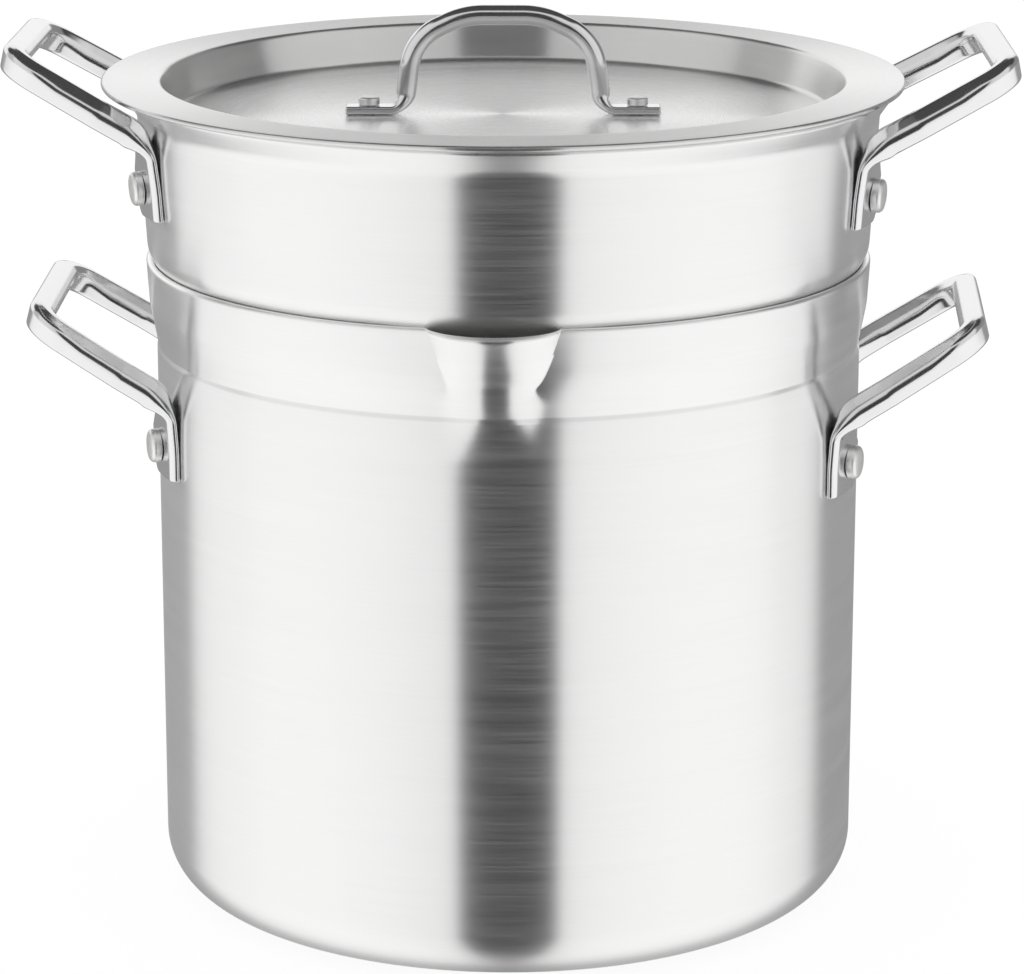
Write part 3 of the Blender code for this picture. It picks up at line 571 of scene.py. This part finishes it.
sideHandle = {"footOuter": 0.0598, "footInner": 0.0338, "footThick": 0.0036, "footCorner": 0.0100,
              "footEdge": 0.0017, "footEnd": 0.0007, "footGap": 0.0001, "bend": 0.0160, "armWidth": 0.0107,
              "armThick": 0.0112, "armLineShare": 0.8, "growFrom": 0.0010, "growTo": 0.0125,
              "ridgeStart": 0.0090, "ridgeRise": 0.0190, "leanOut": 0.0008, "leanFrom": 0.0090,
              "leanTo": 0.0280, "leanTrim": 1.19, "gussetStart": 0.0174, "gussetEnd": 0.0500,
              "gussetPower": 2.6, "endHalfWidth": 0.0498, "endCorner": 0.0137, "edgeLimit": 0.96,
              "swingFrom": 0.5, "swingRate": 2.5}
# rows of points along half a strip, and steps along a corner, a wide side and a narrow side of its section
stripGrid = {"tip": (0.0, 0.15, 0.45), "corner": 11, "straight": 4, "gusset": 33, "arm": 15, "bend": 15,
             "bar": 5}
stripSteps = (7, 14, 12)
sectionSpacing = 0.02  # of points along the arcs of the arm's section, in the units of the next two lists
# the arm's section, in halves of its width and thickness: across, outward and round of its corners
armCorners = ((0.52, 1.0, 0.62), (1.0, -0.14, 0.70), (0.24, -1.0, 0.90))
endCorners = ((0.52, 1.0, 0.62), (1.0, -0.66, 0.50), (0.30, -1.0, 0.50))
# node: body, side along X, height of the feet, their straight length, length of the arms, and in degrees the
# turn round the axis, the arms' rise and the roll about the rivets' height
handlePlaces = {
    "outer_handle_left": ("lower_pot", -1, 0.1779, 0.0225, 0.0506, 2.0, 31.6, -0.6),
    "outer_handle_right": ("lower_pot", 1, 0.1740, 0.0218, 0.0530, -1.0, 32.7, -0.5),
    "inner_handle_left": ("nested_pot", -1, 0.2802, 0.0226, 0.0512, 0.0, 29.7, -1.6),
    "inner_handle_right": ("nested_pot", 1, 0.2793, 0.0215, 0.0528, -0.4, 28.4, 0.0),
}
sideRivet = {"place": 0.0442, "lift": 0.0116, "headRadius": 0.0066, "headHeight": 0.0042,
             "shankRadius": 0.0030, "tailRadius": 0.0066, "tailHeight": 0.0016, "headRound": 0.0017,
             "crown": 0.0006, "headGap": 0.00005}


def sectionPoints(halfWidth, halfThick, edge, cornerSteps, wideSteps, edgeSteps):
    # rounded rectangles, one for each row: across and outward, each an array of rows by points
    across, outward = [], []
    for quarter in range(4):
        sx = 1.0 if quarter in (0, 3) else -1.0
        sy = 1.0 if quarter in (0, 1) else -1.0
        a = quarter * math.pi / 2 + 0.5 * math.pi * np.arange(cornerSteps + 1) / cornerSteps
        across.append(sx * (halfWidth - edge)[:, None] + edge[:, None] * np.cos(a))
        outward.append(sy * (halfThick - edge)[:, None] + edge[:, None] * np.sin(a))
        steps = wideSteps if quarter in (0, 2) else edgeSteps
        share = np.arange(1, steps) / steps
        if quarter in (0, 2):
            across.append(sx * (halfWidth - edge)[:, None] * (1.0 - 2.0 * share))
            outward.append(np.repeat(sy * halfThick[:, None], steps - 1, axis=1))
        else:
            across.append(np.repeat(sx * halfWidth[:, None], steps - 1, axis=1))
            outward.append(sy * (halfThick - edge)[:, None] * (1.0 - 2.0 * share))
    return np.hstack(across), np.hstack(outward)


def armSection(corners):
    # The arm's six sided outline with rounded corners, in halves of its width and thickness. It has as many
    # points as the flat bar's section, in the same order.
    line = roundedLine([(0.0, 1.0, 0.0), *corners, (0.0, -1.0, 0.0)], sectionSpacing)
    line[:, 0] /= line[:, 0].max()
    length = np.concatenate([[0.0], np.cumsum(np.linalg.norm(np.diff(line, axis=0), axis=1))])
    ridge = length[np.argmax(line[:, 0])]
    corner, wide, narrow = stripSteps
    quarter = corner + (wide + narrow) // 2
    at = np.concatenate([np.linspace(0.0, ridge, quarter, endpoint=False),
                         np.linspace(ridge, length[-1], quarter + 1)])
    a, out = np.interp(at, length, line[:, 0]), np.interp(at, length, line[:, 1])
    start = corner + wide // 2
    return np.roll(np.append(-a, a[-2:0:-1]), start), np.roll(np.append(out, out[-2:0:-1]), start)


def stripSection(halfWidth, halfThick, edge, grown, ended):
    # across and outward of each row: a flat bar on the foot that turns into the six sided arm, whose ridge
    # climbs to the top at the end bar
    p = sideHandle
    across, outward = sectionPoints(halfWidth, halfThick, edge, *stripSteps)
    (armA, armOut), (endA, endOut) = armSection(armCorners), armSection(endCorners)
    a = armA + (endA - armA) * ended[:, None]
    out = armOut + (endOut - armOut) * ended[:, None]
    halfArm = p["armWidth"] / 2
    wide = halfWidth[:, None]
    full = np.maximum(wide, halfArm)
    armAcross = full - halfArm + np.where(a > 0.0, halfArm, 2.0 * full - halfArm) * a
    share = grown[:, None]
    return across + (armAcross - across) * share, outward + (out * p["armThick"] / 2 - outward) * share


def stripRows(lean, rise, straight, armLength):
    # half of the strip laid flat: along, across, heading, half width, half thickness and edge of each row,
    # and its share of the end bar's section
    p = sideHandle
    armInner = p["footOuter"] - p["armWidth"]
    halfArm = p["armWidth"] / 2
    end = straight + p["bend"] * math.radians(90.0 - lean - rise) + armLength
    rows = stripGrid
    footAlong = np.concatenate([
        p["footEnd"] * np.array(rows["tip"]),
        np.linspace(p["footEnd"], p["footCorner"], rows["corner"], endpoint=False),
        np.linspace(p["footCorner"], p["gussetStart"], rows["straight"], endpoint=False),
        np.linspace(p["gussetStart"], p["gussetEnd"], rows["gusset"], endpoint=False)])
    fromEnd = np.clip(p["footCorner"] - footAlong, 0.0, None)
    corner = p["footCorner"] - np.sqrt(p["footCorner"]**2 - fromEnd**2)
    share = np.clip((footAlong - p["gussetStart"]) / (p["gussetEnd"] - p["gussetStart"]), 0.0, 1.0)
    inner = armInner - (armInner - p["footInner"]) * (1.0 - share)**p["gussetPower"] + corner
    footAcross = (p["footOuter"] + inner) / 2
    footHalf = (p["footOuter"] - inner) / 2

    start = np.array([p["gussetEnd"], p["footOuter"] - halfArm])
    turnAt = np.array([end, p["endHalfWidth"]])
    heading = math.atan2(start[1] - turnAt[1], turnAt[0] - start[0])
    sweep = math.pi / 2 - heading
    run = (turnAt - start) / np.linalg.norm(turnAt - start)
    armEnd = turnAt - run * p["endCorner"] * math.tan(sweep / 2)
    share = np.linspace(0.0, 1.0, rows["arm"], endpoint=False)
    armPath = start + (armEnd - start) * share[:, None]
    armTurn = heading * smooth(p["swingFrom"] + p["swingRate"] * share)
    centre = armEnd + p["endCorner"] * np.array([-math.sin(heading), -math.cos(heading)])
    bendTurn = heading + sweep * np.linspace(0.0, 1.0, rows["bend"])
    bendPath = centre + p["endCorner"] * np.stack([np.sin(bendTurn), np.cos(bendTurn)], 1)
    barAcross = np.linspace(bendPath[-1, 1], 0.0, rows["bar"] + 1)[1:]
    along = np.concatenate([footAlong, armPath[:, 0], bendPath[:, 0], np.full(rows["bar"], end)])
    across = np.concatenate([footAcross, armPath[:, 1], bendPath[:, 1], barAcross])
    turn = np.concatenate([0.0 * footAlong, armTurn, bendTurn, np.full(rows["bar"], math.pi / 2)])
    halfWidth = np.concatenate([footHalf, np.full(len(along) - len(footHalf), halfArm)])
    inset = p["footEnd"] * (1.0 - np.sqrt(1.0 - np.clip(1.0 - along / p["footEnd"], 0.0, 1.0)**2))
    halfThick = p["footThick"] / 2 - inset
    ended = np.clip((along - armEnd[0] + p["ridgeStart"]) / p["ridgeRise"], 0.0, 1.0)
    edge = np.minimum(p["footEdge"], p["edgeLimit"] * halfThick)
    return along, across, turn, halfWidth - inset, halfThick, edge, ended


def armShare(along, straight):
    # 0 on the foot, 1 where the strip has become the arm
    p = sideHandle
    return smooth((along - straight - p["growFrom"]) / (p["growTo"] - p["growFrom"]))


def makeSideHandle(node, footRadius, lean):
    # the strip's path: up the wall, round the bend, out along the arms; the feet follow the round wall and
    # lean off it at the top, which the arms make up for
    p = sideHandle
    body, side, footZ, straight, armLength, turnAbout, rise, roll = handlePlaces[node]
    armLength -= p["leanTrim"] * p["leanOut"]
    along, across, turn, *sizes, ended = stripRows(lean, rise, straight, armLength)
    a, out = stripSection(*sizes, armShare(along, straight), ended)
    base = footRadius + (p["footGap"] + p["footThick"] / 2) / math.cos(math.radians(lean))
    armLine = p["footOuter"] - p["armWidth"] * p["armLineShare"]
    settled = footRadius - math.sqrt(footRadius**2 - armLine**2)
    s = along[:, None] + a * np.sin(turn)[:, None]
    c = across[:, None] + a * np.cos(turn)[:, None]
    steep, shallow = math.radians(90.0 - lean), math.radians(rise)
    bent = np.clip((s - straight) / p["bend"], 0.0, steep - shallow)
    flat = np.minimum(s, straight)
    rest = np.maximum(s - straight - p["bend"] * (steep - shallow), 0.0)
    leaning = p["leanOut"] * smooth((s - p["leanFrom"]) / (p["leanTo"] - p["leanFrom"]))
    angle = steep - bent
    r = (flat * math.cos(steep) + p["bend"] * (math.sin(steep) - np.sin(angle)) + rest * math.cos(shallow)
         + base + leaning + out * np.sin(angle))
    z = (flat * math.sin(steep) + p["bend"] * (np.cos(angle) - math.cos(steep)) + rest * math.sin(shallow)
         + footZ - out * np.cos(angle))
    curve = r - np.sqrt(r**2 - c**2)
    grown = armShare(s, straight)
    x = side * (r - (curve * (1.0 - grown) + settled * grown))
    half = np.stack([x, -c, z], 2)
    other = half[::-1] * np.array([1.0, -1.0, 1.0])
    rings = np.concatenate([half, other[1:]])
    obj = sweptSurface(node.replace("_handle_", "LoopHandle_"), rings)
    rollPoints(obj, roll, footZ + sideRivet["lift"])
    turnPoints(obj, turnAbout + bodyTurn[body])
    return finishPiece(obj, body, "polished_steel", handleSteel, node)


# shared by all rivets: where the crown bends, as shares of the head's radius and of the crown, the rounds,
# and a tail's end as a share of its radius
rivetForm = {"crownAt": 0.55, "crownFall": 0.25, "crownRound": 0.0040, "headFootRound": 0.0003,
             "tailTopRound": 0.0002, "tailEnd": 0.9, "tailRound": 0.0008, "arcStep": 0.0002,
             "sideStep": 0.0008, "columns": 56}


def rivetOutline(head, grip):
    # crown at the top, down the head, the shank through the grip, and the tail
    p = rivetForm
    top = grip + head["headHeight"]
    return filledIn(roundedLine([
        (0.0, top, 0.0),
        (p["crownAt"] * head["headRadius"], top - p["crownFall"] * head["crown"], p["crownRound"]),
        (head["headRadius"], top - head["crown"], head["headRound"]),
        (head["headRadius"], grip, p["headFootRound"]),
        (head["shankRadius"], grip, 0.0),
        (head["shankRadius"], 0.0, 0.0),
        (head["tailRadius"], 0.0, p["tailTopRound"]),
        (p["tailEnd"] * head["tailRadius"], -head["tailHeight"], p["tailRound"]),
        (0.0, -head["tailHeight"], 0.0),
    ], p["arcStep"]), p["sideStep"])


def placeTurned(obj, place, out):
    # the piece's own Z goes along out, and its origin to the place
    z = np.array(out) / np.linalg.norm(out)
    x = np.cross((0.0, 1.0, 0.0), z)
    x /= np.linalg.norm(x)
    rows = np.eye(4)
    rows[:3, :3] = np.stack([x, np.cross(z, x), z], 1)
    rows[:3, 3] = place
    obj.data.transform(Matrix(rows.tolist()))


rivetColumns = np.arange(rivetForm["columns"]) * 2.0 * math.pi / rivetForm["columns"]
tailFacets = 60  # the tails lie where the facets of a wall of this many would be


def makeSideRivets(node, footRadius, lean, wall):
    p = sideRivet
    body, side, footZ, _, _, turnAbout, _, roll = handlePlaces[node]
    tilt = math.radians(lean)
    radius = footRadius + p["lift"] * math.tan(tilt)
    turn = math.asin(p["place"] / radius)
    wallInside = radius * math.cos(math.pi / tailFacets) - wall / math.cos(tilt) - nestedPot["seatGap"]
    tailBack = p["tailRadius"]**2 / (2.0 * wallInside)
    grip = radius - wallInside + nestedPot["seatGap"] + p["headGap"] + sideHandle["footThick"] + tailBack
    outline = rivetOutline(p, grip)
    for row, sign in (("front", -1), ("rear", 1)):
        flat = np.array([side * math.cos(turn), sign * math.sin(turn), 0.0])
        out = flat * math.cos(tilt) - np.array([0.0, 0.0, math.sin(tilt)])
        tail = flat * wallInside + np.array([0.0, 0.0, footZ + p["lift"]]) - out * tailBack
        obj = turnedSurface(node.replace("_handle_", "Rivet_") + "_" + row, outline, rivetColumns)
        placeTurned(obj, tail, out)
        rollPoints(obj, roll, footZ + p["lift"])
        turnPoints(obj, turnAbout + bodyTurn[body])
        finishPiece(obj, body, "rivet_aluminium", rivetMetal, node.replace("handle", "rivet") + "_" + row)


(lowR, lowZ, _), (highR, highZ, _) = nestedCorners()[3:5]
neckSlope = (highR - lowR) / (highZ - lowZ)
for node, (body, side, footZ, *_) in handlePlaces.items():
    if body == "lower_pot":
        footRadius, lean, wall = lowerPot["radius"], 0.0, lowerPot["wall"]
    else:
        footRadius, lean = lowR + (footZ - lowZ) * neckSlope, math.degrees(math.atan(neckSlope))
        wall = nestedPot["wall"]
    makeSideHandle(node, footRadius, lean)
    makeSideRivets(node, footRadius, lean, wall)
print("side handles made")


# lid handle

lidRod = {"radius": 0.0039, "height": 0.0432, "topHalf": 0.0150, "topBend": 0.0400, "shoulder": 0.0355,
          "shoulderFall": 0.0095, "shoulderBend": 0.0220, "leg": 0.0391, "footBend": 0.0100,
          "footEnd": 0.0622, "footThick": 0.0031, "footHalfWidth": 0.0052, "footEdge": 0.0010,
          "edgeLimit": 0.97, "flatStart": 0.0065, "flatEnd": 0.0115, "endRound": 0.0006,
          "endRows": (1.0, 0.5, 0.15, 0.0), "endEdge": 0.8, "arcStep": 0.0006, "sideStep": 0.0008}
rodSteps = (8, 6, 4)
lidRivet = {"place": 0.0530, "headRadius": 0.0042, "headHeight": 0.0032, "shankRadius": 0.0022,
            "tailRadius": 0.0046, "tailHeight": 0.0016, "headRound": 0.0008, "crown": 0.0003}


def makeLidHandle():
    # the rod's round section flattens through the lower bend into the foot's flat bar
    p = lidRod
    topZ = floorTopZ + p["height"] - p["radius"]
    footZ = floorTopZ + nestedPot["seatGap"] + p["footThick"] / 2
    half = roundedLine([
        (0.0, topZ, 0.0),
        (p["topHalf"], topZ, p["topBend"]),
        (p["shoulder"], topZ - p["shoulderFall"], p["shoulderBend"]),
        (p["leg"], footZ, p["footBend"]),
        (p["leg"] + p["flatEnd"], footZ, 0.0),
        (p["footEnd"], footZ, 0.0),
    ], p["arcStep"])
    half = filledIn(half, p["sideStep"])
    tip = p["footEnd"] - p["endRound"] * np.array(p["endRows"])
    half = np.vstack([half[half[:, 0] < tip[0] - 1e-5], np.stack([tip, np.full(len(tip), footZ)], 1)])
    points = np.vstack([half[:0:-1] * np.array([-1.0, 1.0]), half])
    ahead = np.vstack([points[1:], points[-1:]]) - np.vstack([points[:1], points[:-1]])
    ahead /= np.linalg.norm(ahead, axis=1)[:, None]
    flat = smooth(1.0 - (points[:, 1] - footZ) / p["flatStart"])
    thick = p["radius"] + (p["footThick"] / 2 - p["radius"]) * flat
    wide = p["radius"] + (p["footHalfWidth"] - p["radius"]) * flat
    edge = np.minimum(p["radius"] + (p["footEdge"] - p["radius"]) * flat, p["edgeLimit"] * thick)
    fromTip = np.clip((p["footEnd"] - np.abs(points[:, 0])) / p["endRound"], 0.0, 1.0)
    inset = p["endRound"] * (1.0 - np.sqrt(1.0 - (1.0 - fromTip)**2))
    across, up = sectionPoints(wide - inset, thick - inset, edge - p["endEdge"] * inset, *rodSteps)
    rings = np.stack([points[:, :1] - ahead[:, 1:] * up, across, points[:, 1:] + ahead[:, :1] * up], 2)
    obj = sweptSurface("lidRodHandle", rings)
    turnPoints(obj, nestedPot["turn"], lidShift)
    return finishPiece(obj, "lid_body", "polished_steel", handleSteel, "lid_handle")


def makeLidRivets():
    gap = nestedPot["seatGap"]
    under = floorTopZ - sunkLid["sheet"] - gap
    outline = rivetOutline(lidRivet, 3 * gap + sunkLid["sheet"] + lidRod["footThick"])
    for row, sign in (("left", -1), ("right", 1)):
        obj = turnedSurface("lidHandleRivet_" + row, outline, rivetColumns)
        placeTurned(obj, (sign * lidRivet["place"], 0.0, under), (0.0, 0.0, 1.0))
        turnPoints(obj, nestedPot["turn"], lidShift)
        finishPiece(obj, "lid_body", "rivet_aluminium", rivetMetal, "lid_rivet_" + row)


makeLidHandle()
makeLidRivets()
print("lid handle made")


# studio

# angles in degrees, as seen from the pots: turn from the front, or height over the horizon
studio = {"cardTurn": 2.6, "cardHalf": 16.3, "cardSoft": 2.6, "cardLight": 0.042, "cardFoot": -70.0,
          "footSoft": 22.0, "footLight": 0.52, "cardTop": 37.0, "cardTopSoft": 3.0, "backStart": 110.0,
          "backSoft": 30.0, "backLight": 0.96, "frontHigh": 0.74, "horizonSoft": 6.0, "rightShade": 0.24,
          "rightStart": 96.0, "rightEnd": 164.0, "leftShade": 0.50, "leftStart": 89.0, "leftEnd": 120.0,
          "shadeStartSoft": 3.0, "shadeEndSoft": 12.0, "ceilingFront": 55.0, "ceilingBack": 31.0,
          "ceilingTurnSoft": 10.0, "ceilingSoft": 4.0, "ceilingLight": 0.05, "gain": 1.03, "plainLight": 1.0}
# share of a half turn away from the front, and the light that the metal sees there
wallLights = ((0.0, 0.88), (0.14, 0.90), (0.20, 0.95), (0.33, 1.0), (0.45, 1.0), (0.58, 0.98), (0.63, 0.95),
              (0.678, 0.88), (0.704, 0.33), (1.0, 0.31))


def makeWorld():
    # A round studio seen only by the metal: pale walls with a grey stretch high up at each side, a dark card
    # in front, a dark ceiling and grey low down at the back. The camera sees plain white, and everything else
    # a plain pale light.
    p = studio
    world = bpy.data.worlds.new("studio")
    bpy.context.scene.world = world
    world.use_nodes = True
    tree = world.node_tree
    tree.nodes.clear()
    coords = tree.nodes.new("ShaderNodeTexCoord")
    parts = tree.nodes.new("ShaderNodeSeparateXYZ")
    link(tree, coords.outputs["Generated"], parts.inputs[0])
    x, y, z = parts.outputs
    turn = maths(tree, "ARCTAN2", x, maths(tree, "MULTIPLY", y, -1.0))
    facing = maths(tree, "MULTIPLY", turn, 180.0 / math.pi)
    fromCard = maths(tree, "ABSOLUTE", maths(tree, "SUBTRACT", facing, p["cardTurn"]))
    around = maths(tree, "ABSOLUTE", facing)
    height = maths(tree, "MULTIPLY", maths(tree, "ARCSINE", z), 180.0 / math.pi)

    def step(value, start, width):
        return mapRange(tree, value, start - width / 2, start + width / 2, 0.0, 1.0, "SMOOTHSTEP")

    def blend(share, a, b):
        node = tree.nodes.new("ShaderNodeMix")
        node.data_type = "FLOAT"
        for socket, value in zip(node.inputs[:4], (share, None, a, b)):
            if isinstance(value, (int, float)):
                socket.default_value = value
            elif value is not None:
                link(tree, value, socket)
        return node.outputs[0]

    ramp = tree.nodes.new("ShaderNodeValToRGB")
    ramp.color_ramp.elements[0].position = wallLights[0][0]
    ramp.color_ramp.elements[1].position = wallLights[-1][0]
    for place, _ in wallLights[1:-1]:
        ramp.color_ramp.elements.new(place)
    for element, (_, light) in zip(ramp.color_ramp.elements, wallLights):
        element.color = (light, light, light, 1.0)
    link(tree, maths(tree, "MULTIPLY", around, 1.0 / 180.0), ramp.inputs["Fac"])
    front = maths(tree, "MULTIPLY", ramp.outputs["Color"], p["frontHigh"])
    high = blend(step(around, p["backStart"], p["backSoft"]), front, p["backLight"])
    for side, sign in (("right", 1.0), ("left", -1.0)):
        turned = maths(tree, "MULTIPLY", facing, sign)
        share = maths(tree, "SUBTRACT", step(turned, p[side + "Start"], p["shadeStartSoft"]),
                      step(turned, p[side + "End"], p["shadeEndSoft"]))
        high = blend(share, high, p[side + "Shade"])
    walls = blend(step(height, 0.0, p["horizonSoft"]), ramp.outputs["Color"], high)
    card = blend(step(height, p["cardFoot"], p["footSoft"]), p["footLight"], p["cardLight"])
    card = blend(step(height, p["cardTop"], p["cardTopSoft"]), card, walls)
    light = blend(step(fromCard, p["cardHalf"], p["cardSoft"]), card, walls)
    start = blend(step(around, p["backStart"], p["ceilingTurnSoft"]), p["ceilingFront"], p["ceilingBack"])
    overhead = maths(tree, "SUBTRACT", height, start)
    light = blend(step(overhead, 0.0, p["ceilingSoft"]), light, p["ceilingLight"])
    light = maths(tree, "MULTIPLY", light, p["gain"])

    path = tree.nodes.new("ShaderNodeLightPath")
    light = blend(path.outputs["Is Glossy Ray"], p["plainLight"], light)
    light = blend(path.outputs["Is Camera Ray"], light, 1.0)
    shine = tree.nodes.new("ShaderNodeBackground")
    shine.inputs["Color"].default_value = (1.0, 1.0, 1.0, 1.0)
    link(tree, light, shine.inputs["Strength"])
    output = tree.nodes.new("ShaderNodeOutputWorld")
    link(tree, shine.outputs[0], output.inputs["Surface"])


floorPaper = {"half": 6.0, "drop": 0.0004, "shade": 0.97, "glowShare": 0.85, "glowLight": 1.03}


def makeFloor():
    # paper that takes the pots' shadow; the camera sees it with an even glow, and the metal doesn't see it
    p = floorPaper
    half = p["half"]
    mesh = bpy.data.meshes.new("studioFloor")
    corners = [(-half, -half, 0.0), (half, -half, 0.0), (half, half, 0.0), (-half, half, 0.0)]
    mesh.from_pydata(corners, [], [(0, 1, 2, 3)])
    obj = bpy.data.objects.new("studioFloor", mesh)
    bpy.context.scene.collection.objects.link(obj)
    material, tree, shader = newMaterial("floorPaper")
    shader.inputs["Base Color"].default_value = (p["shade"], p["shade"], p["shade"], 1.0)
    shader.inputs["Roughness"].default_value = 1.0
    shader.inputs["Specular IOR Level"].default_value = 0.0
    glow = tree.nodes.new("ShaderNodeEmission")
    glow.inputs["Color"].default_value = (1.0, 1.0, 1.0, 1.0)
    glow.inputs["Strength"].default_value = p["glowLight"]
    mix = tree.nodes.new("ShaderNodeMixShader")
    path = tree.nodes.new("ShaderNodeLightPath")
    link(tree, maths(tree, "MULTIPLY", path.outputs["Is Camera Ray"], p["glowShare"]), mix.inputs[0])
    link(tree, shader.outputs[0], mix.inputs[1])
    link(tree, glow.outputs[0], mix.inputs[2])
    link(tree, mix.outputs[0], tree.nodes["Material Output"].inputs["Surface"])
    mesh.materials.append(material)
    obj.visible_glossy = False
    obj.location.z = -p["drop"]


# fitted to the outlines in the photograph: lens and sensor in millimetres, angles in degrees
photoView = {"place": (0.0737, -1.6222, 0.6004), "lens": 146.0, "sensor": 36.0, "farEnd": 60.0,
             "turn": 2.549064, "height": 15.14, "roll": 0.035581}


def makeCamera():
    p = photoView
    data = bpy.data.cameras.new("photoCamera")
    data.lens = p["lens"]
    data.sensor_width = p["sensor"]
    data.clip_end = p["farEnd"]
    camera = bpy.data.objects.new("photoCamera", data)
    bpy.context.scene.collection.objects.link(camera)
    turn = (Matrix.Rotation(math.radians(p["turn"]), 4, "Z")
            @ Matrix.Rotation(math.radians(90.0 - p["height"]), 4, "X")
            @ Matrix.Rotation(math.radians(p["roll"]), 4, "Z"))
    camera.matrix_world = Matrix.Translation(p["place"]) @ turn
    bpy.context.scene.camera = camera


makeWorld()
makeFloor()
makeCamera()
bpy.context.scene.view_settings.view_transform = "Standard"
print("studio made")
